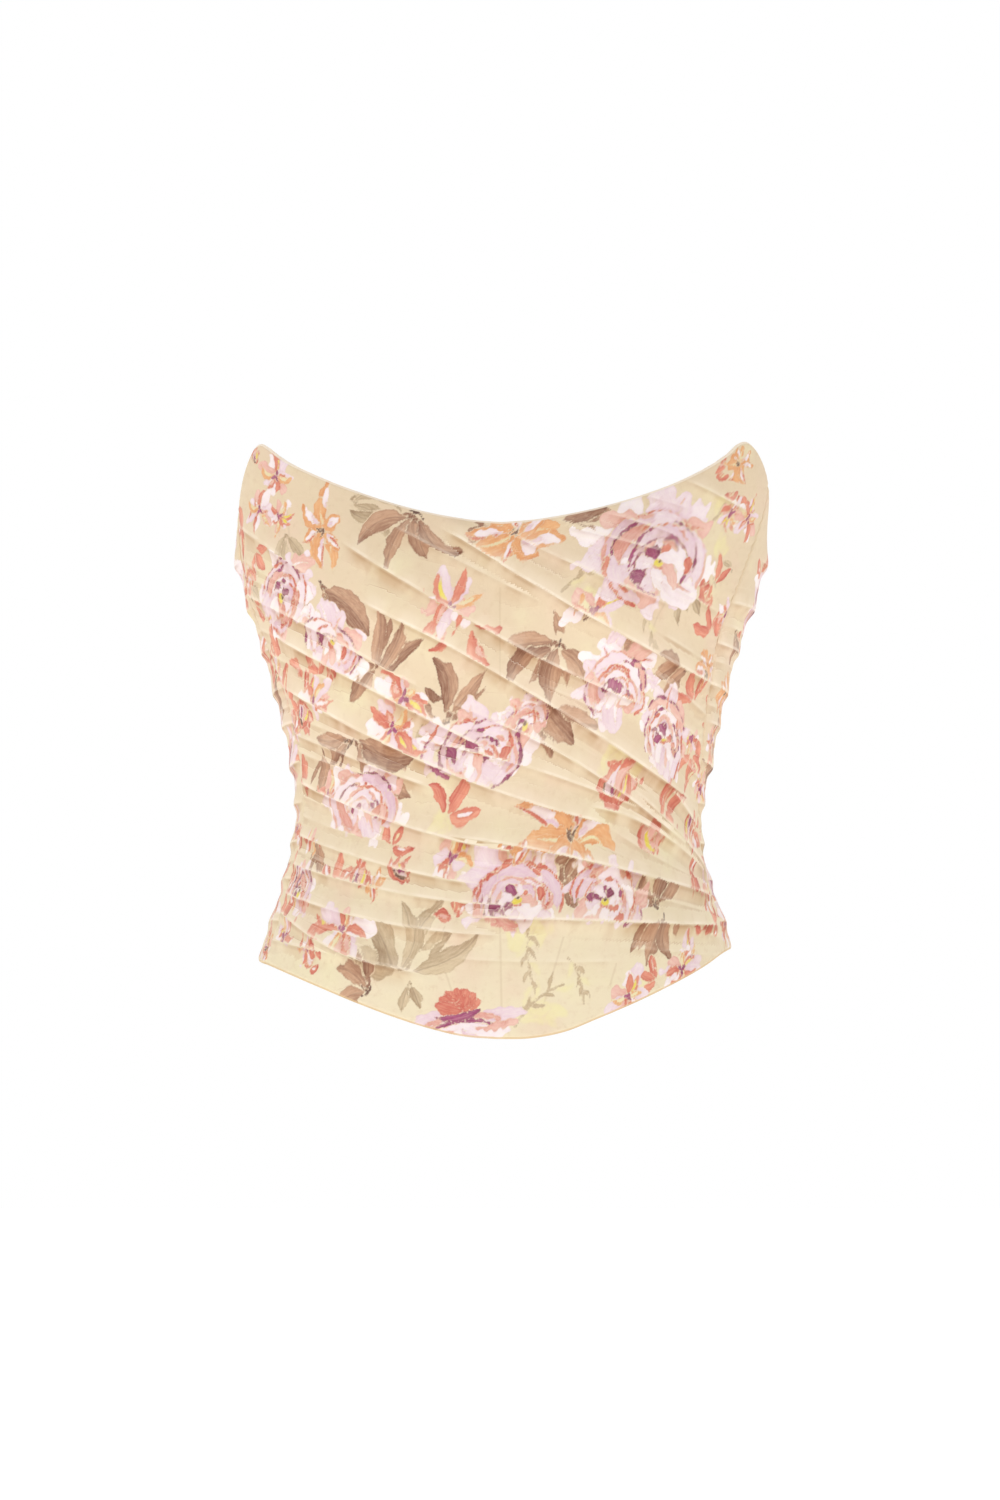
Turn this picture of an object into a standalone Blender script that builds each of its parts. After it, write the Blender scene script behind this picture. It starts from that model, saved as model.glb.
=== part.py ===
"""Strapless corset top with a draped front, filled out as if worn.

Metres, +Z up, the front towards -Y. The origin is the middle of the waist, where the wearer holds the top up.
Every cloth piece is a patch of one tube. A place on the tube is an angle from the centre front, positive
towards +X, and a height above the waist.
"""

import math
from collections import namedtuple

import bmesh
import bpy
import numpy as np
from mathutils import Matrix, Vector

MM = 0.001

# Driving sizes of the cloth
WALL = 1.8 * MM
SEAM_GAP = 0.4 * MM
CENTRE_BACK_GAP = 1.7 * MM

# Level sections of the tube, from below the hem to above the top edge, in millimetres. The lean is how far a
# section's front and sides stand towards +X, because the filled garment doesn't stand quite even
Section = namedtuple("Section", "height half_width front_depth back_depth lean")
SECTIONS = (
    Section(-140, 144.0, 107, 114, -2.0),
    Section(-90, 133.5, 102, 107, -2.0),
    Section(-60, 123.3, 97, 97, -1.3),
    Section(-30, 113.8, 91, 86, -1.8),
    Section(0, 110.9, 88, 79, -0.4),
    Section(30, 115.8, 91, 80, 0.8),
    Section(60, 122.3, 95, 84, 0.3),
    Section(90, 130.8, 99, 88, 0.2),
    Section(115, 139.2, 100, 90, 0.6),
    Section(145, 144.3, 96, 88, 0.8),
    Section(178, 146.0, 87, 81, 2.8),
    Section(210, 141.0, 77, 75, 2.4),
)

# The bust cups stand forward of the sections
Cup = namedtuple("Cup", "offset height forward half_width reach_up reach_down")
CUP = Cup(offset=64, height=112, forward=17, half_width=44, reach_up=62, reach_down=44)

# Heights of the edges round the tube, in degrees and millimetres, on each side of the centre front
Edge = namedtuple("Edge", "angle left right")
TOP_EDGE = (
    Edge(0, 153.0, 153.0),
    Edge(6, 154.0, 154.2),
    Edge(17, 159.0, 159.0),
    Edge(35, 172.0, 172.0),
    Edge(46, 181.0, 182.0),
    Edge(57, 190.0, 192.5),
    Edge(63, 195.5, 198.5),
    Edge(68, 198.5, 199.5),
    Edge(72, 197.0, 196.5),
    Edge(76, 190.0, 190.0),
    Edge(80, 179.5, 179.5),
    Edge(84, 165.5, 165.5),
    Edge(88, 152.5, 152.5),
    Edge(92, 147.0, 147.0),
    Edge(110, 143.0, 143.0),
    Edge(135, 136.0, 136.0),
    Edge(160, 126.5, 126.5),
    Edge(180, 122.0, 122.0),
)
HEM = (
    Edge(0, -120.5, -120.5),
    Edge(7, -119.2, -120.3),
    Edge(15, -115.0, -117.0),
    Edge(23, -109.6, -110.3),
    Edge(33, -102.5, -102.2),
    Edge(44, -95.3, -93.8),
    Edge(59, -88.0, -84.3),
    Edge(70, -84.8, -78.9),
    Edge(79, -83.8, -77.0),
    Edge(90, -83.0, -77.0),
    Edge(140, -86.0, -84.0),
    Edge(180, -90.0, -90.0),
)

# The side seams lean, because the gathers pull the front round unevenly
Seam = namedtuple("Seam", "height left right")
SIDE_SEAMS = (
    Seam(-80, -74, 73),
    Seam(-60, -75, 79),
    Seam(-30, -76, 83),
    Seam(-5, -74, 80),
    Seam(15, -73, 74),
    Seam(40, -72, 69),
    Seam(70, -73, 66),
    Seam(90, -77, 64),
    Seam(119, -81, 65.5),
    Seam(134, -82, 69),
    Seam(149, -83, 73.5),
    Seam(165, -84, 78),
    Seam(200, -85, 84),
)
BACK_SEAM_ANGLE = 132.0

# The drape's folds: where each starts, bends and ends as seen from the front, how high it stands and how wide
# its soft upper side is, in millimetres
Fold = namedtuple("Fold", "start_x start_z middle_x middle_z end_x end_z height width")
FRONT_FOLDS = (
    Fold(96, 178, 112, 171, 138, 159, 1.6, 7),
    Fold(52, 159, 72, 153, 98, 146, 1.4, 7),
    Fold(30, 152, 58, 144, 90, 137, 1.6, 8),
    Fold(2, 148, 45, 127, 94, 108, 2.0, 9),
    Fold(-34, 151, 40, 107, 124, 63, 3.2, 12),
    Fold(-60, 152, 0, 121, 30, 107, 1.3, 10),
    Fold(-86, 144, -13, 99, 84, 53, 2.2, 12),
    Fold(-76, 112, 19, 61, 106, 2, 3.2, 12),
    Fold(-126, 97, -64, 63, -4, 31, 2.8, 11),
    Fold(-8, 49, 55, 16, 108, -28, 2.6, 10),
    Fold(-44, 38, 24, 20, 88, -5, 2.0, 9),
    Fold(-150, 160, -117, 136, -98, 122, 1.8, 8),
    Fold(-150, 123, -108, 102, -40, 64, 2.0, 9),
    Fold(-132, 77, -40, 26, 60, -8, 2.6, 11),
    Fold(-124, 47, -88, 32, -30, 10, 2.0, 8),
    Fold(-124, 24, -61, -5, 14, -23, 3.0, 11),
    Fold(-36, -13, 36, -25, 120, -50, 3.2, 11),
    Fold(-124, -8, -74, -26, -8, -40, 2.2, 9),
    Fold(-124, -26, -61, -43, 10, -51, 2.0, 9),
    Fold(-128, -42, -62, -60, 2, -66, 2.2, 9),
    Fold(-24, -57, 44, -59, 124, -64, 3.0, 10),
    Fold(-130, -45, -98, -70, -50, -83, 2.6, 8),
    Fold(-132, -70, -80, -79, -36, -88, 1.8, 8),
    Fold(66, 14, 93, -11, 120, -46, 2.4, 7),
    Fold(44, 2, 87, -14, 118, -43, 2.2, 7),
    Fold(70, 34, 92, 10, 114, -22, 2.2, 7),
)

# The gathers of the side-back pieces and the strain folds of the backs. Here x is the angle from the centre
# front, in degrees, and z the height in millimetres
SIDE_BACK_FOLDS = (
    Fold(80, 136, 108, 128, 134, 124, 2.2, 8),
    Fold(62, 112, 92, 108, 134, 101, 2.4, 9),
    Fold(60, 91, 88, 85, 126, 82, 2.2, 8),
    Fold(60, 70, 92, 62, 134, 61, 2.4, 9),
    Fold(66, 48, 100, 43, 130, 41, 2.0, 8),
    Fold(70, 27, 102, 20, 134, 21, 2.4, 8),
    Fold(74, 4, 104, 1, 134, 2, 2.2, 8),
    Fold(74, -17, 100, -21, 130, -19, 2.0, 8),
    Fold(72, -37, 104, -42, 134, -41, 2.2, 9),
    Fold(70, -60, 98, -63, 128, -62, 1.8, 9),
)
BACK_FOLDS = (
    Fold(130, 96, 152, 92, 170, 95, 1.0, 10),
    Fold(130, 52, 158, 47, 182, 52, 1.1, 10),
    Fold(130, 24, 156, 15, 182, 20, 1.3, 10),
    Fold(130, -6, 150, -12, 182, -8, 1.3, 10),
    Fold(130, -36, 152, -43, 172, -42, 1.0, 10),
)

# Millimetres of cloth for each degree, at the middle of a side
ARC_PER_DEGREE = 2.1

# A fold's under side as a share of its upper side's width, the length of its fading ends, and how strongly the
# higher of two folds wins where they meet
UNDER_SIDE = 0.5
FADE = 14.0
RUN_TOGETHER = 2.5

# A seam holds the folds down: their share of height there, and how far from it they stand free
SEAM_SHARE = 0.35
SEAM_REACH = 9.0

# Upper edge of the side-back pieces standing off the body
FLARE_HEIGHT, FLARE_ANGLE, FLARE_OUT = 138.0, 95.0, 2.6
FLARE_UP, FLARE_ROUND = 15.0, 17.0

# Rows and columns of the cloth walls. The plain inside is coarser by a whole number
Mesh = namedtuple("Mesh", "columns rows coarser")
FRONT_MESH = Mesh(52, 48, 2)
SIDE_BACK_MESH = Mesh(16, 48, 2)
BACK_MESH = Mesh(12, 24, 2)

# Bone casings: a flat strip inside the wall
CASING_WIDTH = 9.0 * MM
CASING_THICK = 1.2 * MM
CASING_CLEAR = 0.6 * MM
CASING_FROM_EDGE = 6.0
CASING_ROWS = 18
CasingLine = namedtuple("CasingLine", "name top_angle middle_angle hem_angle")
Knot = namedtuple("Knot", "height angle")
CASINGS = (
    CasingLine("casing_front_centre", 0, 0, 0),
    CasingLine("casing_princess_left", -38, -30, -11),
    CasingLine("casing_princess_right", 38, 30, 11),
    CasingLine("casing_outer_left", -54, -52, -31),
    CasingLine("casing_outer_right", 54, 52, 31),
    CasingLine("casing_back_left", -127, -127, -127),
    CasingLine("casing_back_right", 127, 127, 127),
    CasingLine("casing_zip_left", -167.5, -166, -168),
    CasingLine("casing_zip_right", 167.5, 166, 168),
)

# Centre-back zip. The slider's body lies inside, its neck stands in the opening between the two back pieces, and
# the pull tab's two ears turn on a cross pin outside
TAPE_HALF_WIDTH = 8.0 * MM
TAPE_THICK = 0.7 * MM
TAPE_ROWS = 20
TAPE_FROM_EDGE = 1.0
SLIDER_HEIGHT = 114.0 * MM
SLIDER_BODY = (6.0 * MM, 2.2 * MM, 8.0 * MM)
SLIDER_CLEAR = 0.4 * MM
NECK_WIDTH = 0.9 * MM
NECK_HALF_HEIGHT = 2.4 * MM
NECK_PROUD = 0.2 * MM
PIN_RADIUS = 0.7 * MM
PIN_HALF_LENGTH = 2.1 * MM
PIN_OFF_CLOTH = 2.2 * MM
HINGE_CLEAR = 0.3 * MM
PULL_LENGTH = 16.0 * MM
PULL_THICK = 1.0 * MM
TIP_RADIUS = 2.5 * MM
TIP_THICK = 1.1 * MM
EAR_RADIUS = 1.9 * MM
EAR_FROM, EAR_TO = 0.8 * MM, 2.0 * MM
TAB_INTO_EARS = 0.2 * MM
ROUND_SIDES = 24

CREAM = (0.86, 0.76, 0.58)
LINING = (0.90, 0.84, 0.72)
ENAMEL = (0.84, 0.78, 0.66)


def column(table, position, name, where):
    """A named column of a table as a smooth curve of its first column."""
    xs = np.array([getattr(row, position) for row in table], float)
    ys = np.array([getattr(row, name) for row in table], float)
    slopes = np.gradient(ys, xs)
    where = np.clip(np.asarray(where, float), xs[0], xs[-1])
    i = np.clip(np.searchsorted(xs, where) - 1, 0, len(xs) - 2)
    step = xs[i + 1] - xs[i]
    t = (where - xs[i]) / step
    rise = t * t * (3 - 2 * t)
    return (
        ys[i] * (1 - rise)
        + ys[i + 1] * rise
        + slopes[i] * step * t * (1 - t) ** 2
        - slopes[i + 1] * step * t * t * (1 - t)
    )


def smooth(t):
    t = np.clip(t, 0, 1)
    return t * t * (3 - 2 * t)


def cup_forward(x, z):
    """How far the cups bring the front forward at a place seen from the front, in millimetres."""
    reach = np.where(z > CUP.height, CUP.reach_up, CUP.reach_down)
    upright = np.exp(-(((z - CUP.height) / reach) ** 2))
    across = np.exp(-(((np.abs(x) - CUP.offset) / CUP.half_width) ** 2))
    return CUP.forward * upright * across


def smooth_form(angle, z):
    """Points of the tube before any fold, in millimetres."""
    turn = np.radians(angle)
    half_width = column(SECTIONS, "height", "half_width", z)
    front = column(SECTIONS, "height", "front_depth", z)
    back = column(SECTIONS, "height", "back_depth", z)
    lean = column(SECTIONS, "height", "lean", z) * smooth((180 - np.abs(angle)) / 90)
    forward = np.cos(turn)
    x = lean + half_width * np.sin(turn)
    depth = np.where(forward > 0, front, back)
    y = -depth * forward - cup_forward(x, z) * np.clip(forward, 0, 1)
    return np.stack([x, y, z + 0 * x], axis=-1)


def outward(angle, z):
    """Unit normals of the tube."""
    small_turn, small_rise = 0.2, 0.5
    round_it = smooth_form(angle + small_turn, z) - smooth_form(angle - small_turn, z)
    up_it = smooth_form(angle, z + small_rise) - smooth_form(angle, z - small_rise)
    normal = np.cross(round_it, up_it)
    return normal / np.linalg.norm(normal, axis=-1, keepdims=True)


def fold_height(folds, x, z, arc_per_x=1.0):
    """How far the folds stand out at (x, z). Each is soft above its crest and steep below it.

    Where folds meet they run together and don't pile up.
    """
    total = np.zeros(np.broadcast(x, z).shape)
    fade = FADE / arc_per_x
    for fold in folds:
        along = (fold.start_x, fold.middle_x, fold.end_x)
        bend = np.polyfit(along, (fold.start_z, fold.middle_z, fold.end_z), 2)
        slope = np.polyval(np.polyder(bend), x) / arc_per_x
        above = (z - np.polyval(bend, x)) / np.sqrt(1 + slope * slope)
        width = np.where(above > 0, fold.width, fold.width * UNDER_SIDE)
        ends = smooth((x - fold.start_x) / fade) * smooth((fold.end_x - x) / fade)
        height = fold.height * np.exp(-((above / width) ** 2)) * ends
        total = total + height**RUN_TOGETHER
    return total ** (1 / RUN_TOGETHER)


def left_seam(z):
    return column(SIDE_SEAMS, "height", "left", z)


def right_seam(z):
    return column(SIDE_SEAMS, "height", "right", z)


def held_by_seams(angle, z):
    """The share of a fold's height that is left beside the side seams."""
    away = np.minimum(np.abs(angle - left_seam(z)), np.abs(angle - right_seam(z))) * ARC_PER_DEGREE
    return SEAM_SHARE + (1 - SEAM_SHARE) * smooth(away / SEAM_REACH)


def front_raise(angle, z):
    return fold_height(FRONT_FOLDS, smooth_form(angle, z)[..., 0], z) * held_by_seams(angle, z)


def side_back_raise(angle, z):
    folds = fold_height(SIDE_BACK_FOLDS, np.abs(angle), z, ARC_PER_DEGREE) * held_by_seams(angle, z)
    near_top = np.exp(-(((z - FLARE_HEIGHT) / FLARE_UP) ** 2))
    near_side = np.exp(-(((np.abs(angle) - FLARE_ANGLE) / FLARE_ROUND) ** 2))
    return folds + FLARE_OUT * near_top * near_side


def back_raise(angle, z):
    return fold_height(BACK_FOLDS, np.abs(angle), z, ARC_PER_DEGREE)


def edge_height(table, angle):
    left = column(table, "angle", "left", -angle)
    right = column(table, "angle", "right", angle)
    return np.where(angle < 0, left, right)


def top_edge(angle):
    return edge_height(TOP_EDGE, angle)


def hem_edge(angle):
    return edge_height(HEM, angle)


def at_angle(angle):
    """A boundary that stays at one angle at every height."""
    return lambda z: angle + 0 * z


def clear_of(boundary, gap):
    """A boundary moved round the tube by a gap in metres, positive towards larger angles."""

    def moved(z):
        radius = column(SECTIONS, "height", "half_width", z) * MM
        return boundary(z) + np.degrees(gap / radius)

    return moved


def patch(start, end, columns, rows):
    """Angles and heights of a grid between two boundaries, the hem and the top edge."""
    across = np.linspace(0, 1, columns + 1)[:, None]
    upward = np.linspace(0, 1, rows + 1)[None, :]
    z = np.zeros((columns + 1, rows + 1))
    for _ in range(40):
        angle = start(z) + across * (end(z) - start(z))
        z = z + 0.7 * (hem_edge(angle) + upward * (top_edge(angle) - hem_edge(angle)) - z)
    return angle, z


def add_grid(bm, points):
    return [[bm.verts.new(Vector(p)) for p in line] for line in points]


def face_grid(bm, grid):
    for line, following in zip(grid, grid[1:]):
        for j in range(len(line) - 1):
            bm.faces.new((line[j], following[j], following[j + 1], line[j + 1]))


def rim(bm, fine, coarse):
    """Closes a wall's edge between its fine outside and its coarser inside."""
    ratio = (len(fine) - 1) // (len(coarse) - 1)
    for j in range(len(coarse) - 1):
        run = fine[j * ratio : (j + 1) * ratio + 1]
        half = ratio // 2
        for k in range(ratio):
            near = coarse[j] if k < half else coarse[j + 1]
            bm.faces.new((run[k], run[k + 1], near))
        bm.faces.new((coarse[j], run[half], coarse[j + 1]))


def border(grid):
    """The four edges of a grid, each a line of corners."""
    return (grid[0], grid[-1], [line[0] for line in grid], [line[-1] for line in grid])


def material(name, colour, roughness, metallic=0.0):
    made = bpy.data.materials.new(name)
    made.use_nodes = True
    shader = made.node_tree.nodes["Principled BSDF"]
    shader.inputs["Base Color"].default_value = (*colour, 1)
    shader.inputs["Roughness"].default_value = roughness
    shader.inputs["Metallic"].default_value = metallic
    return made


def finish_object(name, bm, finish, collection):
    bmesh.ops.triangulate(bm, faces=bm.faces)
    bmesh.ops.recalc_face_normals(bm, faces=bm.faces)
    mesh = bpy.data.meshes.new(name)
    bm.to_mesh(mesh)
    bm.free()
    mesh.shade_smooth()
    mesh.set_sharp_from_angle(angle=math.radians(40))
    made = bpy.data.objects.new(name, mesh)
    mesh.materials.append(finish)
    collection.objects.link(made)
    return made


def cloth_piece(name, start, end, raised, mesh, finish, collection):
    """A wall of cloth: folds in its outer points over a plain, coarser inside."""
    angle, z = patch(start, end, mesh.columns, mesh.rows)
    outer = smooth_form(angle, z) + outward(angle, z) * raised(angle, z)[..., None]
    angle = angle[:: mesh.coarser, :: mesh.coarser]
    z = z[:: mesh.coarser, :: mesh.coarser]
    inner = smooth_form(angle, z) - outward(angle, z) * (WALL / MM)
    bm = bmesh.new()
    outside = add_grid(bm, outer * MM)
    inside = add_grid(bm, inner * MM)
    face_grid(bm, outside)
    face_grid(bm, inside)
    for fine, coarse in zip(border(outside), border(inside)):
        rim(bm, fine, coarse)
    return finish_object(name, bm, finish, collection)


def inner_strip(name, centre_angle, half_width, thick, z_from, z_to, rows, finish, collection):
    """A flat strip along the inside of the wall. centre_angle gives its line as angles at its heights."""
    z = np.linspace(z_from, z_to, rows + 1)[:, None]
    angle = centre_angle(z)
    middle = smooth_form(angle, z)
    normal = outward(angle, z)
    upward = smooth_form(centre_angle(z + 1), z + 1) - smooth_form(centre_angle(z - 1), z - 1)
    across = np.cross(upward, normal)
    across /= np.linalg.norm(across, axis=-1, keepdims=True)
    near = (WALL + CASING_CLEAR) / MM
    far = near + thick / MM
    corners = ((-1, near), (1, near), (1, far), (-1, far))
    lines = [(middle + across * side * half_width / MM - normal * deep)[:, 0] for side, deep in corners]
    bm = bmesh.new()
    grid = add_grid(bm, np.stack(lines) * MM)
    face_grid(bm, [*grid, grid[0]])
    bm.faces.new([line[0] for line in grid])
    bm.faces.new([line[-1] for line in reversed(grid)])
    return finish_object(name, bm, finish, collection)


def casing(line, finish, collection):
    hem = float(hem_edge(np.array(line.hem_angle, float))) + CASING_FROM_EDGE
    top = float(top_edge(np.array(line.top_angle, float))) - CASING_FROM_EDGE
    knots = (
        Knot(hem, line.hem_angle),
        Knot(0.0, line.middle_angle),
        Knot(top, line.top_angle),
    )

    def centre_angle(z):
        return column(knots, "height", "angle", z)

    half = CASING_WIDTH / 2
    return inner_strip(line.name, centre_angle, half, CASING_THICK, hem, top, CASING_ROWS, finish, collection)


def centre_back(z):
    """The outer surface of the cloth at the centre back, at a height in metres."""
    return float(smooth_form(np.array(180.0), np.array(z / MM))[1]) * MM


def box(bm, low, high):
    size = Vector(high) - Vector(low)
    place = Matrix.Translation((Vector(high) + Vector(low)) / 2) @ Matrix.Diagonal((*size, 1))
    bmesh.ops.create_cube(bm, size=1, matrix=place)


def cross_rod(bm, y, z, radius, x_from, x_to):
    """A round rod along X."""
    lie_down = Matrix.Rotation(math.pi / 2, 4, "Y")
    place = Matrix.Translation(((x_from + x_to) / 2, y, z)) @ lie_down
    bmesh.ops.create_cone(
        bm,
        cap_ends=True,
        segments=ROUND_SIDES,
        radius1=radius,
        radius2=radius,
        depth=x_to - x_from,
        matrix=place,
    )


def solid_object(name, build, finish, collection, helper=False):
    bm = bmesh.new()
    build(bm)
    made = finish_object(name, bm, finish, collection)
    made.hide_render = helper
    if helper:
        made.display_type = "WIRE"
    return made


def boolean(target, other, operation):
    modifier = target.modifiers.new(f"{operation.lower()} {other.name}", "BOOLEAN")
    modifier.operation = operation
    modifier.object = other


def hinge_line():
    """(y, z) of the pull tab's hinge."""
    return centre_back(SLIDER_HEIGHT) + PIN_OFF_CLOTH, SLIDER_HEIGHT


def zip_slider(finish, collection, helpers):
    """The slider's body inside the cloth, its neck through the opening, and the cross pin outside."""
    wide, deep, tall = SLIDER_BODY
    y_cloth = centre_back(SLIDER_HEIGHT)
    y_pin, z_pin = hinge_line()
    y_body = y_cloth - WALL - CASING_CLEAR

    def body(bm):
        low = (-wide / 2, y_body - deep, z_pin - tall / 2)
        high = (wide / 2, y_body, z_pin + tall / 2)
        box(bm, low, high)

    def neck(bm):
        low = (-NECK_WIDTH / 2, y_body - deep / 2, z_pin - NECK_HALF_HEIGHT)
        high = (NECK_WIDTH / 2, y_cloth + NECK_PROUD, z_pin + NECK_HALF_HEIGHT)
        box(bm, low, high)

    def stem(bm):
        low = (-NECK_WIDTH / 2, y_cloth - WALL, z_pin - PIN_RADIUS)
        high = (NECK_WIDTH / 2, y_pin, z_pin + PIN_RADIUS)
        box(bm, low, high)

    def pin(bm):
        cross_rod(bm, y_pin, z_pin, PIN_RADIUS, -PIN_HALF_LENGTH, PIN_HALF_LENGTH)

    slider = solid_object("zip_slider", body, finish, collection)
    for name, build in (("slider_neck", neck), ("slider_stem", stem), ("slider_pin", pin)):
        boolean(slider, solid_object(name, build, finish, helpers, helper=True), "UNION")
    return slider


def zip_pull(finish, collection, helpers):
    """The pull tab: two ears round the slider's pin and a tab that hangs from them, built about its hinge."""
    tip_height = TIP_RADIUS - PULL_LENGTH
    tab_top = TAB_INTO_EARS - EAR_RADIUS

    def ear(bm, side):
        x_from, x_to = sorted((side * EAR_FROM, side * EAR_TO))
        cross_rod(bm, 0, 0, EAR_RADIUS, x_from, x_to)

    def tab(bm):
        box(bm, (-EAR_TO, -PULL_THICK / 2, tip_height), (EAR_TO, PULL_THICK / 2, tab_top))

    def tip(bm):
        place = Matrix.Translation((0, 0, tip_height)) @ Matrix.Rotation(math.pi / 2, 4, "X")
        bmesh.ops.create_cone(
            bm,
            cap_ends=True,
            segments=ROUND_SIDES,
            radius1=TIP_RADIUS,
            radius2=TIP_RADIUS,
            depth=TIP_THICK,
            matrix=place,
        )

    def hole(bm):
        cross_rod(bm, 0, 0, PIN_RADIUS + HINGE_CLEAR, -PIN_HALF_LENGTH * 2, PIN_HALF_LENGTH * 2)

    hinge = bpy.data.objects.new("pull_hinge", None)
    hinge.location = (0, *hinge_line())
    collection.objects.link(hinge)
    pull = solid_object("zip_pull", tab, finish, collection)
    parts = (
        ("pull_tip", tip, "UNION"),
        ("pull_ear_left", lambda bm: ear(bm, -1), "UNION"),
        ("pull_ear_right", lambda bm: ear(bm, 1), "UNION"),
        ("pull_hole", hole, "DIFFERENCE"),
    )
    for name, build, operation in parts:
        other = solid_object(name, build, finish, helpers, helper=True)
        other.parent = hinge
        boolean(pull, other, operation)
    pull.parent = hinge
    return pull


def zip_tape(finish, collection):
    """The tape behind the centre-back opening. It stops below the slider."""
    hem = float(hem_edge(np.array(180.0))) + TAPE_FROM_EDGE
    top = (SLIDER_HEIGHT - SLIDER_BODY[2] / 2 - SLIDER_CLEAR) / MM
    line = at_angle(180.0)
    half = TAPE_HALF_WIDTH
    return inner_strip("zip_tape", line, half, TAPE_THICK, hem, top, TAPE_ROWS, finish, collection)


def main():
    for old in list(bpy.data.objects):
        bpy.data.objects.remove(old)
    scene = bpy.context.scene.collection
    corset = bpy.data.collections.new("draped corset top")
    helpers = bpy.data.collections.new("cutters and unions")
    scene.children.link(corset)
    scene.children.link(helpers)

    cloth = material("printed cloth", CREAM, 0.75)
    lining = material("lining tape", LINING, 0.8)
    enamel = material("enamelled metal", ENAMEL, 0.35, 0.4)

    half = SEAM_GAP / 2
    back_half = CENTRE_BACK_GAP / 2
    left_back, right_back = at_angle(-BACK_SEAM_ANGLE), at_angle(BACK_SEAM_ANGLE)
    centre_left, centre_right = at_angle(-180.0), at_angle(180.0)
    pieces = (
        ("front_drape", left_seam, half, right_seam, half, front_raise, FRONT_MESH),
        ("side_back_left", left_back, half, left_seam, half, side_back_raise, SIDE_BACK_MESH),
        ("side_back_right", right_seam, half, right_back, half, side_back_raise, SIDE_BACK_MESH),
        ("back_left", centre_left, back_half, left_back, half, back_raise, BACK_MESH),
        ("back_right", right_back, half, centre_right, back_half, back_raise, BACK_MESH),
    )
    for name, start, start_gap, end, end_gap, raised, mesh in pieces:
        start, end = clear_of(start, start_gap), clear_of(end, -end_gap)
        cloth_piece(name, start, end, raised, mesh, cloth, corset)
    for line in CASINGS:
        casing(line, lining, corset)
    zip_tape(lining, corset)
    zip_slider(enamel, corset, helpers)
    zip_pull(enamel, corset, helpers)


main()
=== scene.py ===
"""Looks of the strapless corset top with a draped front: folded printed cloth, bone casings, zip and studio.

Laid out as a Blender add-on and run as a script. Sizes are in millimetres until a mesh is made.
"""

import math
from collections import namedtuple

import bmesh
import bpy
import numpy as np
from mathutils import Matrix, Vector


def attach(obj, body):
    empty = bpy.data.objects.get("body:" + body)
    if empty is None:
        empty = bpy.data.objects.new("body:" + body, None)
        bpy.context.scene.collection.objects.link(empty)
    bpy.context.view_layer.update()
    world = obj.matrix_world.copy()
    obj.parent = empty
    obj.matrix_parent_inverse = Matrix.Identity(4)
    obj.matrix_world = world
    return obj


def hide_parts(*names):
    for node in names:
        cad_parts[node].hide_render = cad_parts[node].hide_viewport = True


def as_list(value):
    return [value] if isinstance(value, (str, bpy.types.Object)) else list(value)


bl_info = {
    "name": "Draped corset top",
    "version": (1, 0, 0),
    "blender": (4, 5, 0),
    "location": "3D View > Sidebar > Corset",
    "description": "Builds the printed cloth, casings, zip and studio round a packed corset top",
    "category": "Object",
}

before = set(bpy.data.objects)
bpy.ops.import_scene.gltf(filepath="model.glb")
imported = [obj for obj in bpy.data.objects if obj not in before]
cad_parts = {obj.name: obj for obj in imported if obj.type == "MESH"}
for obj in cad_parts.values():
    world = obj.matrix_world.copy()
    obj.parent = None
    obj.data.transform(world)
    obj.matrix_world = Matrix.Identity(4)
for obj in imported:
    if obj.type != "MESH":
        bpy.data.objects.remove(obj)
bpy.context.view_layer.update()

MM = 0.001


def rows(kind, *table):
    """A table's rows, with a name for each column."""
    return tuple(kind(*row) for row in table)


def grouped(kind, *groups):
    """Rows that share their first word, group by group."""
    return tuple(kind(word, *row) for word, *table in groups for row in table)


# The garment's own form, the same values as the solids

Section = namedtuple("Section", "height half_width front_depth back_depth lean")
SECTIONS = rows(
    Section,
    (-140, 144, 107, 114, -2), (-90, 133.5, 102, 107, -2), (-60, 123.3, 97, 97, -1.3),
    (-30, 113.8, 91, 86, -1.8), (0, 110.9, 88, 79, -0.4), (30, 115.8, 91, 80, 0.8),
    (60, 122.3, 95, 84, 0.3), (90, 130.8, 99, 88, 0.2), (115, 139.2, 100, 90, 0.6),
    (145, 144.3, 96, 88, 0.8), (178, 146, 87, 81, 2.8), (210, 141, 77, 75, 2.4),
)
Cup = namedtuple("Cup", "offset height forward half_width reach_up reach_down")
CUP = Cup(offset=64, height=112, forward=17, half_width=44, reach_up=62, reach_down=44)

# Heights of the top edge and the hem at an angle from the centre front, on both sides
Edge = namedtuple("Edge", "angle left right")
TOP_EDGE = rows(
    Edge,
    (0, 153, 153), (6, 154, 154.2), (17, 159, 159), (35, 172, 172), (46, 181, 182), (57, 190, 192.5),
    (63, 195.5, 198.5), (68, 198.5, 199.5), (72, 197, 196.5), (76, 190, 190), (80, 179.5, 179.5),
    (84, 165.5, 165.5), (88, 152.5, 152.5), (92, 147, 147), (110, 143, 143), (135, 136, 136),
    (160, 126.5, 126.5), (180, 122, 122),
)
HEM = rows(
    Edge,
    (0, -120.5, -120.5), (7, -119.2, -120.3), (15, -115, -117), (23, -109.6, -110.3),
    (33, -102.5, -102.2), (44, -95.3, -93.8), (59, -88, -84.3), (70, -84.8, -78.9), (79, -83.8, -77),
    (90, -83, -77), (140, -86, -84), (180, -90, -90),
)

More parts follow.
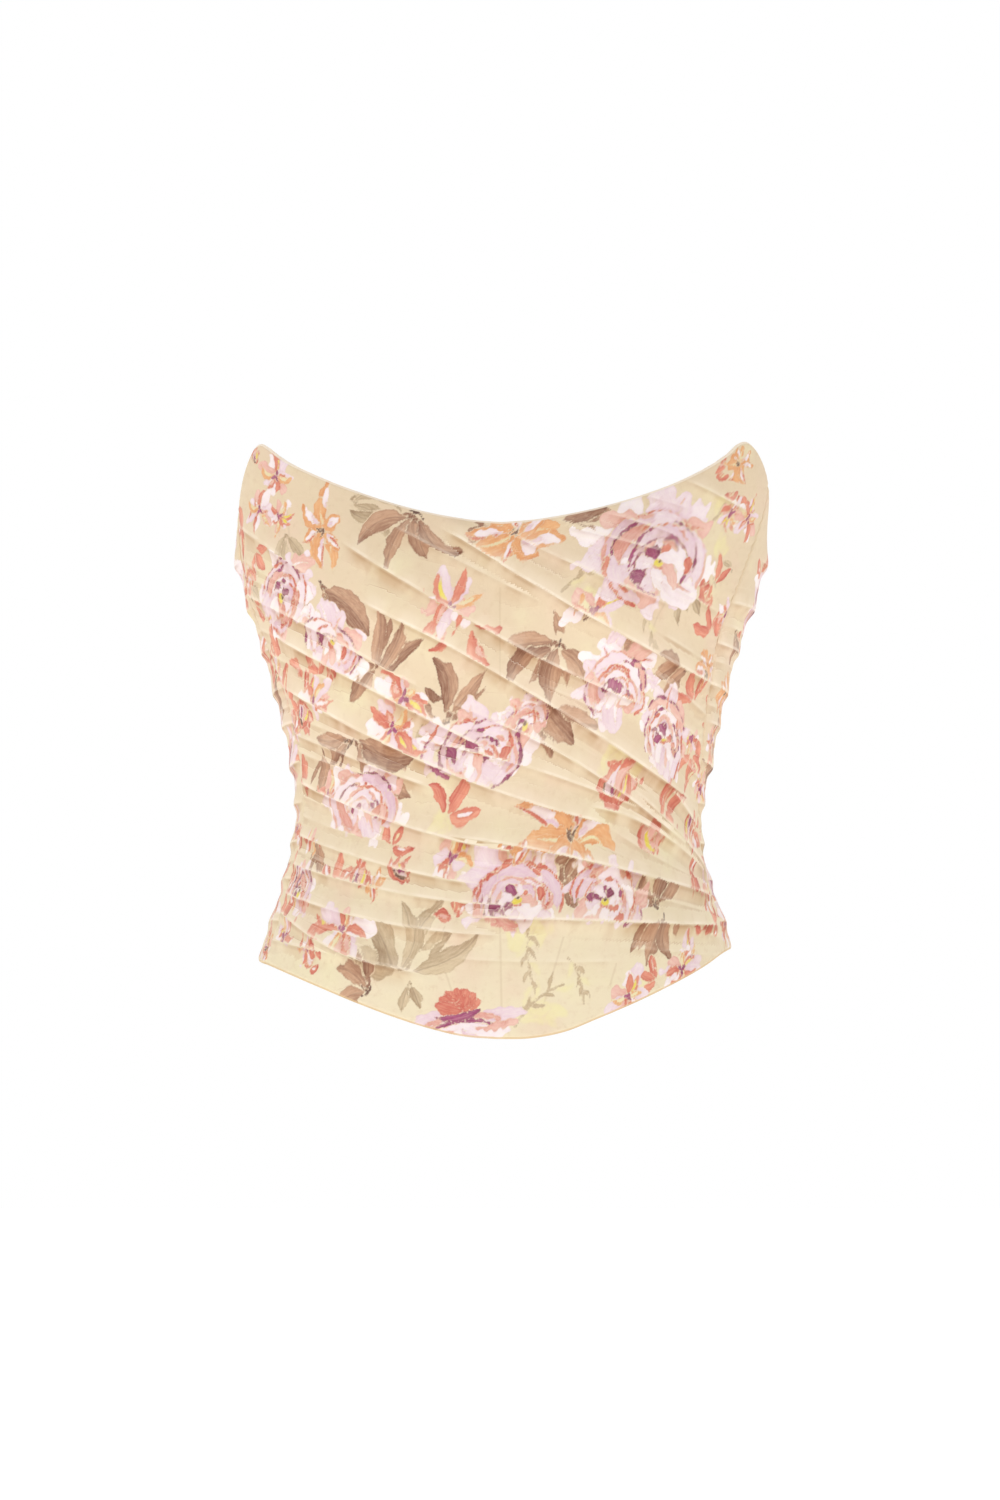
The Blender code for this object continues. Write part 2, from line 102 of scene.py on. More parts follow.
# Angles of the side seams
Seam = namedtuple("Seam", "height left right")
SIDE_SEAMS = rows(
    Seam,
    (-80, -74, 73), (-60, -75, 79), (-30, -76, 83), (-5, -74, 80), (15, -73, 74), (40, -72, 69),
    (70, -73, 66), (90, -77, 64), (119, -81, 65.5), (134, -82, 69), (149, -83, 73.5), (165, -84, 78),
    (200, -85, 84),
)
BACK_SEAM_ANGLE = 132.0
WALL, CENTRE_BACK_GAP = 1.8, 1.7

# Gap between the cloth pieces at their seams, closer than between the solids so that no light shows through
SEAM_GAP = 0.02

# Folds: where each starts, bends and ends, its height and the width of its soft upper side. In front, x is as
# seen from the front. On the side backs and backs it is the angle from the centre front.

Fold = namedtuple("Fold", "start_x start_z middle_x middle_z end_x end_z height width")
FRONT_FOLDS = rows(
    Fold,
    (96, 178, 112, 171, 138, 159, 1.6, 7), (52, 159, 72, 153, 98, 146, 1.4, 7),
    (30, 152, 58, 144, 90, 137, 1.6, 8), (2, 148, 45, 127, 94, 108, 2, 9),
    (-34, 151, 40, 107, 124, 63, 3.2, 12), (-60, 152, 0, 121, 30, 107, 1.3, 10),
    (-86, 144, -13, 99, 84, 53, 2.2, 12), (-76, 112, 19, 61, 106, 2, 3.2, 12),
    (-126, 97, -64, 63, -4, 31, 2.8, 11), (-8, 49, 55, 16, 108, -28, 2.6, 10),
    (-44, 38, 24, 20, 88, -5, 2, 9), (-150, 160, -117, 136, -98, 122, 1.8, 8),
    (-150, 123, -108, 102, -40, 64, 2, 9), (-132, 77, -40, 26, 60, -8, 2.6, 11),
    (-124, 47, -88, 32, -30, 10, 2, 8), (-124, 24, -61, -5, 14, -23, 3, 11),
    (-36, -13, 36, -25, 120, -50, 3.2, 11), (-124, -8, -74, -26, -8, -40, 2.2, 9),
    (-124, -26, -61, -43, 10, -51, 2, 9), (-128, -42, -62, -60, 2, -66, 2.2, 9),
    (-24, -57, 44, -59, 124, -64, 3, 10), (-130, -45, -98, -70, -50, -83, 2.6, 8),
    (-132, -70, -80, -79, -36, -88, 1.8, 8), (66, 14, 93, -11, 120, -46, 2.4, 7),
    (44, 2, 87, -14, 118, -43, 2.2, 7), (70, 34, 92, 10, 114, -22, 2.2, 7),
)
SIDE_BACK_FOLDS = rows(
    Fold,
    (80, 136, 108, 128, 134, 124, 2.2, 8), (62, 112, 92, 108, 134, 101, 2.4, 9),
    (60, 91, 88, 85, 126, 82, 2.2, 8), (60, 70, 92, 62, 134, 61, 2.4, 9),
    (66, 48, 100, 43, 130, 41, 2, 8), (70, 27, 102, 20, 134, 21, 2.4, 8), (74, 4, 104, 1, 134, 2, 2.2, 8),
    (74, -17, 100, -21, 130, -19, 2, 8), (72, -37, 104, -42, 134, -41, 2.2, 9),
    (70, -60, 98, -63, 128, -62, 1.8, 9),
)
BACK_FOLDS = rows(
    Fold,
    (130, 96, 152, 92, 170, 95, 1, 10), (130, 52, 158, 47, 182, 52, 1.1, 10),
    (130, 24, 156, 15, 182, 20, 1.3, 10), (130, -6, 150, -12, 182, -8, 1.3, 10),
    (130, -36, 152, -43, 172, -42, 1, 10),
)

# Small folds that only the cloth has: gathers beside the seams and creases between the large folds

FRONT_GATHERS = rows(
    Fold,
    (-150, 142, -128, 128, -112, 118, 0.8, 5), (-150, 133, -122, 119, -96, 107, 0.7, 5),
    (-148, 108, -120, 93, -92, 84, 0.9, 5), (-136, 92, -112, 78, -82, 68, 0.8, 5),
    (-128, 68, -104, 56, -72, 44, 0.8, 5), (-124, 57, -100, 46, -60, 32, 0.7, 5),
    (-122, 37, -98, 27, -66, 18, 0.8, 5), (-120, 14, -96, 3, -58, -6, 0.8, 5),
    (-120, 3, -96, -8, -52, -17, 0.7, 5), (-120, -17, -94, -29, -50, -36, 0.7, 5),
    (-122, -35, -98, -47, -66, -54, 0.7, 5), (-124, -52, -98, -62, -60, -70, 0.7, 5),
    (-82, 86, -63, 77, -42, 68, 0.8, 5), (-30, 58, 10, 42, 48, 22, 0.7, 5),
    (-12, 80, 24, 66, 60, 50, 0.6, 5), (72, 128, 98, 116, 122, 104, 0.7, 5),
    (78, 98, 100, 86, 122, 72, 0.8, 5), (74, 78, 98, 62, 120, 44, 0.9, 5),
    (72, 66, 96, 48, 118, 26, 0.9, 5), (70, 52, 94, 32, 116, 6, 0.9, 5),
    (66, 40, 90, 18, 113, -12, 0.8, 5), (60, 26, 86, 2, 112, -32, 0.8, 5),
    (56, -8, 84, -26, 116, -44, 0.7, 5), (48, -18, 82, -33, 118, -54, 0.7, 5),
    (40, -36, 80, -46, 122, -60, 0.7, 5), (52, -52, 88, -60, 126, -72, 0.6, 5),
    (60, -72, 92, -76, 126, -80, 0.5, 5), (-30, -78, 20, -80, 70, -80, 0.5, 6),
    (64, 172, 84, 166, 104, 161, 0.7, 5), (14, 160, 30, 154, 52, 146, 0.6, 5),
)
SIDE_BACK_GATHERS = rows(
    Fold,
    (76, 122, 96, 118, 118, 114, 0.8, 5), (62, 100, 84, 96, 104, 93, 0.9, 5),
    (62, 81, 84, 77, 108, 73, 0.8, 5), (104, 112, 122, 110, 134, 108, 0.7, 5),
    (64, 58, 86, 53, 110, 51, 0.8, 5), (100, 72, 118, 70, 134, 71, 0.7, 5),
    (68, 38, 90, 34, 112, 31, 0.8, 5), (98, 52, 118, 50, 134, 51, 0.7, 5),
    (72, 15, 92, 11, 114, 11, 0.8, 5), (100, 31, 118, 30, 134, 30, 0.7, 5),
    (74, -6, 94, -10, 116, -9, 0.8, 5), (102, 10, 120, 9, 134, 11, 0.7, 5),
    (74, -27, 94, -31, 114, -31, 0.8, 5), (104, -10, 120, -11, 134, -10, 0.7, 5),
    (72, -50, 92, -52, 112, -53, 0.7, 5), (102, -31, 120, -32, 134, -30, 0.7, 5),
    (100, -52, 118, -53, 134, -51, 0.6, 5), (84, -73, 104, -74, 124, -74, 0.5, 5),
)
BACK_GATHERS = rows(
    Fold,
    (130, 72, 142, 71, 156, 72, 0.5, 5), (130, 38, 142, 36, 158, 37, 0.5, 5),
    (130, 8, 142, 5, 160, 6, 0.5, 5), (130, -20, 142, -23, 158, -23, 0.5, 5),
    (164, 66, 172, 66, 184, 66, 0.4, 5), (162, 34, 172, 33, 184, 34, 0.4, 5),
    (164, 4, 172, 3, 184, 4, 0.4, 5),
)
ARC_PER_DEGREE = 2.1
UNDER_SIDE, FADE, RUN_TOGETHER = 0.5, 14.0, 2.5
SEAM_SHARE, SEAM_REACH = 0.35, 9.0
FLARE_HEIGHT, FLARE_ANGLE, FLARE_OUT = 138.0, 95.0, 2.6
FLARE_UP, FLARE_ROUND = 15.0, 17.0

# How the print breaks at a fold, where cloth is hidden under it: its jump for each millimetre of the fold's
# height, how far from the fold it is even again, and how much of the jump is sideways in front
PRINT_JUMP, PRINT_REACH, PRINT_SLANT = 1.3, 9.0, 0.35

# Shares that the cloth shows of the solid's folds, of a fold under a gather and of the gathers, and a fold's
# lip as a share of its height
FOLD_SHARE, UNDER_GATHERS, GATHER_SHARE, LIP_SHARE = 0.85, 0.55, 0.6, 0.11

# Puckers along the seams, and the turned edges of a piece at its seams, top and hem
PUCKER_PITCH, PUCKER_SWAY, PUCKER_RUN, PUCKER_REACH, PUCKER_START = 5.2, 1.7, 7.0, 6.0, 2.0
TURNED_IN, SEAM_TURN, EDGE_TURN = 0.8, 1.7, 1.3
FLAT_EDGE, FLAT_REACH = 0.35, 5.0

# Cloth walls: columns and rows outside, and how much coarser the plain inside is
Grid = namedtuple("Grid", "columns rows coarser")
FRONT_GRID, SIDE_GRID = Grid(304, 280, 8), Grid(104, 192, 8)
FINE_STEPS, NEXT_STEP = (0.0, 0.0011, 0.0031, 0.0062), 0.0095

# Rounds and step in which a grid's heights settle between the hem and the top edge
PATCH_ROUNDS, PATCH_STEP = 24, 0.85

# Lines of the boned base that show through the draped layer
UnderLine = namedtuple("UnderLine", "top_x top_z low_x low_z")
UNDER_LINES = rows(
    UnderLine,
    (0, 118, 0, 68), (0, -60, 1, -114), (89, 114, 77, 90), (34, -66, 22, -106), (-115, 164, -111, 128),
    (62, -81, 58, -94), (-34, -70, -22, -106),
)
NO_LINE = 20.0

# Inks, each pale and deep, and the other colours, 0 to 255

NO_INK, DEEPEST = 30.0, -6.0
INKS = {
    "lemon": ((243, 235, 176), (236, 224, 146)),
    "greige": ((218, 196, 162), (166, 138, 108)),
    "leaf": ((204, 160, 130), (128, 80, 62)),
    "lilac": ((246, 230, 233), (220, 180, 196)),
    "white": ((253, 244, 242), (236, 212, 222)),
    "blush": ((244, 204, 190), (216, 142, 130)),
    "orange": ((244, 194, 140), (216, 134, 82)),
    "coral": ((236, 156, 130), (196, 82, 72)),
    "yellow": ((246, 232, 106), (218, 190, 40)),
    "plum": ((196, 96, 146), (124, 36, 80)),
    "vein": ((134, 94, 78), (74, 48, 50)),
}
CREAM_LOW, CREAM_HIGH = (236, 221, 190), (229, 208, 177)
CREAM_YELLOW, CREAM_PINK, CREAM_TAN = (238, 227, 188), (232, 204, 180), (216, 190, 157)
UNDER_SEAM, WEAVE_SHADE, LEAF_VEIN = (206, 182, 150), (214, 190, 160), (104, 66, 60)
# Painted light and shade: ivory for the highlight on the folds' edges, the glow above them and the top edge;
# tans for the painted shade under the folds and along the hem
PAINTED_HIGHLIGHT_IVORY, PAINTED_HEM_SHADE = (253, 239, 220), (216, 186, 142)
FOLD_SHADE, BROAD_SHADE = (196, 160, 128), (206, 174, 142)
LINING_LIGHT, LINING_DARK, LINING_WEAVE = (243, 232, 208), (229, 213, 183), (206, 186, 152)
FACING, FACING_STITCH = (250, 242, 224), (196, 170, 132)
TAPE_LIGHT, TAPE_DARK = (244, 234, 214), (226, 210, 182)
TAPE_TWILL, TAPE_STITCH = (206, 186, 154), (190, 164, 128)
ENAMEL_LIGHT, ENAMEL_DARK, ENAMEL_SPECK = (238, 226, 200), (214, 198, 166), (176, 158, 128)
NYLON_LIGHT, NYLON_DARK = (240, 228, 202), (218, 200, 168)

# Studio, in Blender's own colours and metres. The even light is weaker from behind than from in front
WHITE, WARM_WHITE = (1, 1, 1, 1), (1.0, 0.99, 0.975, 1)
AMBIENT_SHARES = (0.62, 1.12)
LAMP_SIZE, SENSOR = 1.2, 36

# Print. Flowers and sprays are placed one by one: in front at x and z as seen from the front, and on the side
# backs and backs with the angle from the centre front as x

Flower = namedtuple("Flower", "kind x z wide tall turn seed")
Spray = namedtuple("Spray", "ink x z length turn spread count seed")
FRONT_FLOWERS = grouped(
    Flower,
    (
        "wash",
        (63, 24, 17, 15, 0, 1), (11, -66, 22, 12, 0, 2), (21, -106, 22, 10, 0, 3), (74, -94, 13, 8, 0, 4),
        (119, 163, 12, 9, 0, 5), (119, 141, 6, 8, 0, 6), (47, 112, 9, 7, 0, 7), (-30, -4, 10, 7, 0, 8),
    ),
    ("star", (-121, 180, 15, 17, 60, 11), (-130, 163, 14, 13, 210, 12)),
    ("lily", (-94, 150, 27, 15, 90, 13), (10, 146, 31, 14, 0, 14)),
    ("star", (-26, 110, 20, 17, 100, 15), (50, 108, 24, 13, 10, 16), (134, 157, 14, 16, 70, 17)),
    ("lily", (130, 187, 13, 11, 60, 18)),
    (
        "peony",
        (82, 139, 38, 31, 0, 21), (-114, 117, 18, 25, -55, 22), (-88, 93, 24, 12, -32, 23),
        (63, 68, 21, 20, 0, 24), (89, 43, 15, 21, 10, 25), (-13, 35, 29, 20, 0, 26),
        (-73, 5, 23, 18, -10, 27), (12, 49, 13, 9, 20, 50), (6, -42, 26, 20, 5, 28),
        (58, -45, 22, 18, -8, 29), (-106, -42, 10, 13, 0, 30),
    ),
    ("dome", (-22, -105, 31, 15, 8, 31)),
    (
        "lily",
        (14, -22, 20, 9, 10, 51), (38, -16, 32, 16, -20, 32), (110, 76, 13, 14, 70, 33),
        (-67, -41, 10, 8, 20, 34),
    ),
    (
        "star",
        (-57, 44, 20, 13, -30, 35), (-26, -27, 13, 10, 20, 52), (-84, -64, 22, 15, 160, 36),
        (-116, -69, 11, 8, 150, 37), (-98, 61, 14, 17, 100, 38), (-50, 62, 20, 11, -35, 39),
        (68, -99, 20, 13, 60, 40),
    ),
    (
        "bud",
        (-133, 191, 6, 7, 100, 19), (62, 10, 18, 19, 85, 41), (78, -17, 14, 9, -30, 42),
        (-52, -33, 11, 10, 120, 43), (-74, -38, 10, 8, 90, 44), (101, -7, 6, 9, -80, 45),
        (115, 57, 7, 10, -90, 46), (-106, 49, 9, 12, 60, 47),
    ),
    ("star", (-112, -16, 8, 10, 80, 48), (97, -86, 18, 9, 20, 49)),
)
FRONT_SPRAYS = grouped(
    Spray,
    (
        "greige",
        (-80, 166, 26, -25, 40, 2, 1), (-52, 158, 24, 150, 40, 2, 2), (-115, 149, 15, -80, 70, 3, 3),
        (-42, 44, 10, -60, 60, 2, 4), (-50, -87, 32, 95, 150, 5, 5), (-48, -92, 15, -85, 40, 2, 6),
    ),
    (
        "twig",
        (34, 118, 24, 25, 30, 2, 7), (14, -64, 26, -80, 70, 4, 8), (8, -114, 26, 40, 70, 4, 9),
        (36, -78, 20, -70, 70, 3, 14), (74, 112, 20, -70, 70, 3, 15), (112, 150, 12, 50, 50, 3, 10),
    ),
    ("greige", (100, 118, 17, -75, 50, 2, 11), (118, 134, 12, -60, 50, 2, 12)),
    (
        "leaf",
        (-46, 158, 28, -95, 120, 4, 21), (-96, 121, 36, -48, 30, 2, 22), (-105, 127, 18, -75, 10, 1, 23),
        (31, 90, 28, -120, 120, 4, 24), (28, 104, 14, -55, 10, 1, 25), (44, 98, 13, 70, 110, 3, 26),
        (15, 59, 33, -48, 50, 3, 27), (14, 60, 16, 145, 10, 1, 28), (99, 75, 23, 190, 62, 3, 29),
        (-64, 76, 24, 62, 64, 3, 30), (-64, 76, 22, 200, 40, 2, 31), (-27, 51, 23, 50, 210, 5, 32),
        (-79, 38, 40, -28, 26, 2, 33), (-79, 37, 19, 200, 40, 2, 34), (-95, 31, 18, -95, 20, 1, 35),
        (32, -27, 24, -35, 60, 3, 36), (-100, -19, 16, -80, 40, 2, 37), (83, -52, 18, 85, 90, 3, 38),
        (86, -56, 25, -105, 60, 3, 39), (-70, -96, 21, 160, 100, 3, 40), (40, -26, 13, 200, 80, 3, 44),
        (32, 153, 27, 18, 40, 2, 41), (72, 85, 15, 160, 10, 1, 42), (-3, 152, 14, 200, 30, 2, 43),
    ),
    (
        "coral",
        (-27, 102, 14, -130, 60, 2, 51), (-17, 96, 18, -25, 50, 2, 52), (-27, 88, 10, -150, 30, 1, 53),
        (115, 121, 14, 62, 50, 2, 54), (106, 122, 14, -50, 20, 1, 55), (120, 108, 14, -70, 40, 2, 56),
        (-28, -2, 16, 65, 120, 3, 57), (-59, -20, 11, 50, 100, 3, 58), (90, 19, 15, -70, 60, 2, 59),
        (-24, -58, 11, 110, 130, 3, 60), (106, -52, 13, 100, 110, 3, 61), (108, -71, 9, 90, 130, 3, 62),
        (-137, 131, 12, -60, 50, 2, 63), (-125, 104, 18, -62, 50, 3, 64), (-114, 82, 15, -58, 50, 2, 65),
        (-88, 82, 13, -115, 70, 3, 66), (115, 180, 11, 30, 50, 2, 67), (-118, 66, 14, -70, 30, 2, 68),
        (-104, 8, 10, 60, 80, 2, 69), (116, 92, 12, 75, 50, 2, 70), (84, -91, 12, 160, 90, 3, 71),
        (-104, -88, 8, 60, 90, 3, 72),
    ),
)
SIDE_FLOWERS = grouped(
    Flower,
    ("peony", (92, 112, 24, 20, 0, 61)),
    ("star", (118, 84, 17, 14, 80, 62)),
    ("lily", (80, 62, 17, 15, 60, 63)),
    ("peony", (108, 40, 24, 20, 10, 64)),
    ("wash", (84, 20, 14, 9, 0, 65)),
    ("bud", (88, 6, 11, 11, 90, 66)),
    ("star", (118, -8, 18, 14, 120, 67)),
    ("peony", (96, -38, 24, 19, 0, 68)),
    ("star", (82, -66, 15, 10, 60, 69)),
    ("dome", (120, -66, 18, 11, 0, 70)),
    ("bud", (126, 60, 9, 9, 70, 71)),
    ("star", (124, 124, 14, 10, 50, 72)),
    ("wash", (116, 8, 15, 10, 0, 73)),
)
SIDE_SPRAYS = grouped(
    Spray,
    ("leaf", (106, 96, 26, -60, 70, 3, 81), (98, 66, 24, 30, 80, 3, 82)),
    ("greige", (126, 34, 20, -80, 80, 3, 83)),
    ("leaf", (92, 24, 24, 200, 60, 3, 84)),
    ("coral", (98, 14, 13, -30, 90, 3, 85)),
    ("leaf", (110, 8, 24, 20, 60, 3, 86)),
    ("greige", (86, -16, 22, -40, 60, 2, 87)),
    ("coral", (112, -28, 13, 60, 90, 3, 88)),
    ("leaf", (112, -48, 24, -20, 80, 3, 89)),
    ("twig", (84, -50, 18, 40, 60, 3, 90)),
    ("coral", (80, 84, 14, 70, 80, 3, 91), (76, 34, 13, -60, 80, 3, 92)),
    ("leaf", (74, 46, 18, -30, 60, 2, 93)),
    ("coral", (100, -74, 12, 90, 120, 3, 94)),
    ("greige", (110, 130, 20, 190, 50, 2, 95)),
    ("leaf", (72, 98, 16, -70, 40, 2, 96)),
)
BACK_FLOWERS = grouped(
    Flower,
    ("star", (146, 112, 18, 13, 70, 101)),
    ("peony", (160, 84, 26, 21, 0, 102)),
    ("lily", (140, 66, 18, 16, 110, 103)),
    ("wash", (150, 44, 16, 10, 0, 104)),
    ("star", (168, 38, 19, 15, 40, 105)),
    ("peony", (147, 14, 25, 20, 5, 106)),
    ("bud", (170, 2, 11, 11, 80, 107)),
    ("star", (164, -26, 18, 14, 130, 108)),
    ("peony", (146, -50, 24, 18, 0, 109)),
    ("dome", (170, -74, 20, 11, 0, 110)),
    ("wash", (158, -66, 14, 9, 0, 111)),
    ("bud", (174, 66, 9, 9, 100, 112)),
)
BACK_SPRAYS = grouped(
    Spray,
    ("leaf", (160, 108, 24, -20, 60, 3, 121)),
    ("greige", (140, 94, 22, -50, 60, 3, 122)),
    ("leaf", (150, 54, 24, 20, 70, 3, 123)),
    ("coral", (160, 56, 13, -70, 90, 3, 124)),
    ("leaf", (162, 18, 26, -40, 60, 3, 125)),
    ("twig", (172, 22, 18, 60, 60, 3, 126)),
    ("coral", (138, -14, 14, -60, 90, 3, 127)),
    ("leaf", (152, -22, 24, 160, 70, 3, 128)),
    ("greige", (172, -44, 22, 200, 70, 3, 129)),
    ("leaf", (158, -48, 22, -10, 60, 2, 130)),
    ("coral", (140, -76, 12, 60, 110, 3, 131)),
    ("greige", (150, -78, 18, 20, 60, 2, 132)),
    ("coral", (176, 100, 12, 200, 90, 3, 133)),
)

# Bone casings and zip
CASING_HALF_WIDTH, CASING_THICK, CASING_CLEAR, CASING_FROM_EDGE = 4.5, 1.2, 0.6, 6.0
CASING_ROWS, TAPE_ROWS = 96, 110
CasingLine = namedtuple("CasingLine", "name top_angle middle_angle hem_angle")
Knot = namedtuple("Knot", "height angle")
CASINGS = rows(
    CasingLine,
    ("casing_front_centre", 0, 0, 0), ("casing_princess_left", -38, -30, -11),
    ("casing_princess_right", 38, 30, 11), ("casing_outer_left", -54, -52, -31),
    ("casing_outer_right", 54, 52, 31), ("casing_back_left", -127, -127, -127),
    ("casing_back_right", 127, 127, 127), ("casing_zip_left", -167.5, -166, -168),
    ("casing_zip_right", 167.5, 166, 168),
)
TAPE_HALF_WIDTH, TAPE_THICK, TAPE_FROM_EDGE = 8.0, 0.7, 1.0
SLIDER_HEIGHT, SLIDER_HALF_BODY, SLIDER_CLEAR = 114.0, 4.0, 0.4
CASING_STITCHES, TAPE_STITCHES = 3.7, 5.6
TOOTH_PITCH, TOOTH_HALF_WIDTH, TOOTH_RADIUS, TOOTH_LEAN = 1.5, 0.62, 0.38, 0.22
COIL_FROM_HEM, COIL_FROM_TOP, COIL_SUNK = 1.5, 0.5, 0.7

# The crowded band beside a seam in front, and how the left side's motifs are moved, turned and seeded again
BAND_CLEAR, BAND_WIDTH = 4, 26
MOVED_UP, MOVED_TURN, MOVED_SEED = 0.41, 75, 500

# Places across a strip, from side to side, how worn down its edges are there, and how wide a bone lifts it
ACROSS_STRIP = np.array([-1, -0.97, -0.9, -0.6, -0.3, 0, 0.3, 0.6, 0.9, 0.97, 1])
WORN = np.array([0.75, 0.4, 0.12, 0, 0, 0, 0, 0, 0.12, 0.4, 0.75])
BONE_SHARE = 0.62


def scattered(count, seed, low, high, place):
    """Small coral sprays and starry blossoms between two heights, for the crowded print beside the seams.
    place turns a share of the band's width and a height into the table's own x."""
    rng = np.random.default_rng(seed)
    flowers, sprays = [], []
    for k in range(count):
        z = low + (high - low) * (k + float(rng.uniform(0.1, 0.9))) / count
        x = place(float(rng.uniform(0, 1)), z)
        turn = float(rng.uniform(0, 360))
        if k % 3 == 0:
            size = float(rng.uniform(8, 13))
            flowers.append(Flower("star", x, z, size, size * 0.9, turn, seed * 50 + k))
        else:
            ink = ("coral", "greige")[int(rng.random() < 0.15)]
            sprays.append(Spray(ink, x, z, float(rng.uniform(9, 16)), turn, 110, 3, seed * 50 + k))
    return tuple(flowers), tuple(sprays)


def moved_round(items, side, first, last, low, high):
    """The motifs of a piece. On the left they are turned and moved, so that the two sides don't mirror."""
    if side > 0:
        return items
    moved = []
    for item in items:
        x, z = first + last - item.x, low + (item.z - low + MOVED_UP * (high - low)) % (high - low)
        moved.append(item._replace(x=x, z=z, turn=item.turn + MOVED_TURN, seed=item.seed + MOVED_SEED))
    return tuple(moved)


# Form of the tube


def column(table, position, name, where):
    """A named column of a table as a smooth curve of its first column."""
    xs = np.array([getattr(row, position) for row in table], float)
    ys = np.array([getattr(row, name) for row in table], float)
    slopes = np.gradient(ys, xs)
    where = np.clip(np.asarray(where, float), xs[0], xs[-1])
    i = np.clip(np.searchsorted(xs, where) - 1, 0, len(xs) - 2)
    step = xs[i + 1] - xs[i]
    t = (where - xs[i]) / step
    rise = t * t * (3 - 2 * t)
    return (
        ys[i] * (1 - rise)
        + ys[i + 1] * rise
        + slopes[i] * step * t * (1 - t) ** 2
        - slopes[i + 1] * step * t * t * (1 - t)
    )


def half_width(z):
    return column(SECTIONS, "height", "half_width", z)


def smooth(t):
    t = np.clip(t, 0, 1)
    return t * t * (3 - 2 * t)


def hump(distance, reach):
    return np.exp(-((distance / reach) ** 2))


def cup_forward(x, z):
    reach = np.where(z > CUP.height, CUP.reach_up, CUP.reach_down)
    return CUP.forward * hump(z - CUP.height, reach) * hump(np.abs(x) - CUP.offset, CUP.half_width)


def smooth_form(angle, z):
    """Points of the tube before any fold."""
    turn = np.radians(angle)
    front = column(SECTIONS, "height", "front_depth", z)
    back = column(SECTIONS, "height", "back_depth", z)
    lean = column(SECTIONS, "height", "lean", z) * smooth((180 - np.abs(angle)) / 90)
    forward = np.cos(turn)
    x = lean + half_width(z) * np.sin(turn)
    depth = np.where(forward > 0, front, back)
    y = -depth * forward - cup_forward(x, z) * np.clip(forward, 0, 1)
    return np.stack([x, y, z + 0 * x], axis=-1)


def outward(angle, z):
    """Unit normals of the tube."""
    small_turn, small_rise = 0.2, 0.5
    round_it = smooth_form(angle + small_turn, z) - smooth_form(angle - small_turn, z)
    up_it = smooth_form(angle, z + small_rise) - smooth_form(angle, z - small_rise)
    normal = np.cross(round_it, up_it)
    return normal / np.linalg.norm(normal, axis=-1, keepdims=True)


def edge_height(table, angle):
    angle = np.asarray(angle, float)
    return np.where(angle < 0, column(table, "angle", "left", -angle), column(table, "angle", "right", angle))


# Boundaries of the pieces: functions from heights to angles


def left_seam(z):
    return column(SIDE_SEAMS, "height", "left", z)


def right_seam(z):
    return column(SIDE_SEAMS, "height", "right", z)


def at_angle(angle):
    return lambda z: angle + 0 * z


def clear_of(boundary, gap):
    """A boundary moved round the tube by a gap, positive towards larger angles."""
    return lambda z: boundary(z) + np.degrees(gap / half_width(z))


class RoundTable:
    """Distances round the tube from the centre front, at every angle and height."""

    HALF_TURN, LOW, HIGH, STEP, FRONT = 190, -135.0, 216.0, 5.0, 88

    def __init__(self):
        self.angles = np.arange(-self.HALF_TURN, self.HALF_TURN + 1.0)
        self.heights = np.arange(self.LOW, self.HIGH, self.STEP)
        points = smooth_form(*np.meshgrid(self.angles, self.heights))
        steps = np.linalg.norm(np.diff(points, axis=1), axis=-1)
        run = np.concatenate([np.zeros((len(self.heights), 1)), np.cumsum(steps, axis=1)], axis=1)
        self.round = run - run[:, [self.HALF_TURN]]
        self.x = points[..., 0]

    def at(self, angle, z):
        """The distance round the tube at an angle and a height."""
        i = np.clip(np.asarray(angle, float) + self.HALF_TURN, 0, len(self.angles) - 1.001)
        j = np.clip((np.asarray(z, float) - self.LOW) / self.STEP, 0, len(self.heights) - 1.001)
        i0, j0 = i.astype(int), j.astype(int)
        u, v = i - i0, j - j0
        low = self.round[j0, i0] * (1 - u) + self.round[j0, i0 + 1] * u
        high = self.round[j0 + 1, i0] * (1 - u) + self.round[j0 + 1, i0 + 1] * u
        return low * (1 - v) + high * v

    def angle_seen_at(self, x, z):
        """The angle of the front that is seen at x."""
        row = int(np.clip(round((z - self.LOW) / self.STEP), 0, len(self.heights) - 1))
        front = np.abs(self.angles) <= self.FRONT
        return float(np.interp(x, self.x[row, front], self.angles[front]))


ROUND = RoundTable()


def front_place(x, z):
    """A place on the flat cloth from one seen from the front."""
    return float(ROUND.at(ROUND.angle_seen_at(x, z), z)), z


def round_place(side):
    """Places on the flat cloth from angles on one side."""
    return lambda angle, z: (float(ROUND.at(side * angle, z)), z)


def beside_seam(side):
    """Places in a band of the front beside one of its seams, crowded towards the seam."""
    return lambda share, z: side * (float(half_width(z)) - BAND_CLEAR - BAND_WIDTH * share * share)


# Folds


def each_fold(folds, x, z, arc_per_x):
    """For each fold, how far above its crest each place lies, and how present the fold is there."""
    fade = FADE / arc_per_x
    for fold in folds:
        along = (fold.start_x, fold.middle_x, fold.end_x)
        bend = np.polyfit(along, (fold.start_z, fold.middle_z, fold.end_z), 2)
        slope = np.polyval(np.polyder(bend), x) / arc_per_x
        above = (z - np.polyval(bend, x)) / np.sqrt(1 + slope * slope)
        ends = smooth((x - fold.start_x) / fade) * smooth((fold.end_x - x) / fade)
        yield fold, above, ends


def fold_height(folds, x, z, arc_per_x):
    total = np.zeros(np.broadcast(x, z).shape)
    for fold, above, ends in each_fold(folds, x, z, arc_per_x):
        width = np.where(above > 0, fold.width, fold.width * UNDER_SIDE)
        total = total + (fold.height * hump(above, width) * ends) ** RUN_TOGETHER
    return total ** (1 / RUN_TOGETHER)


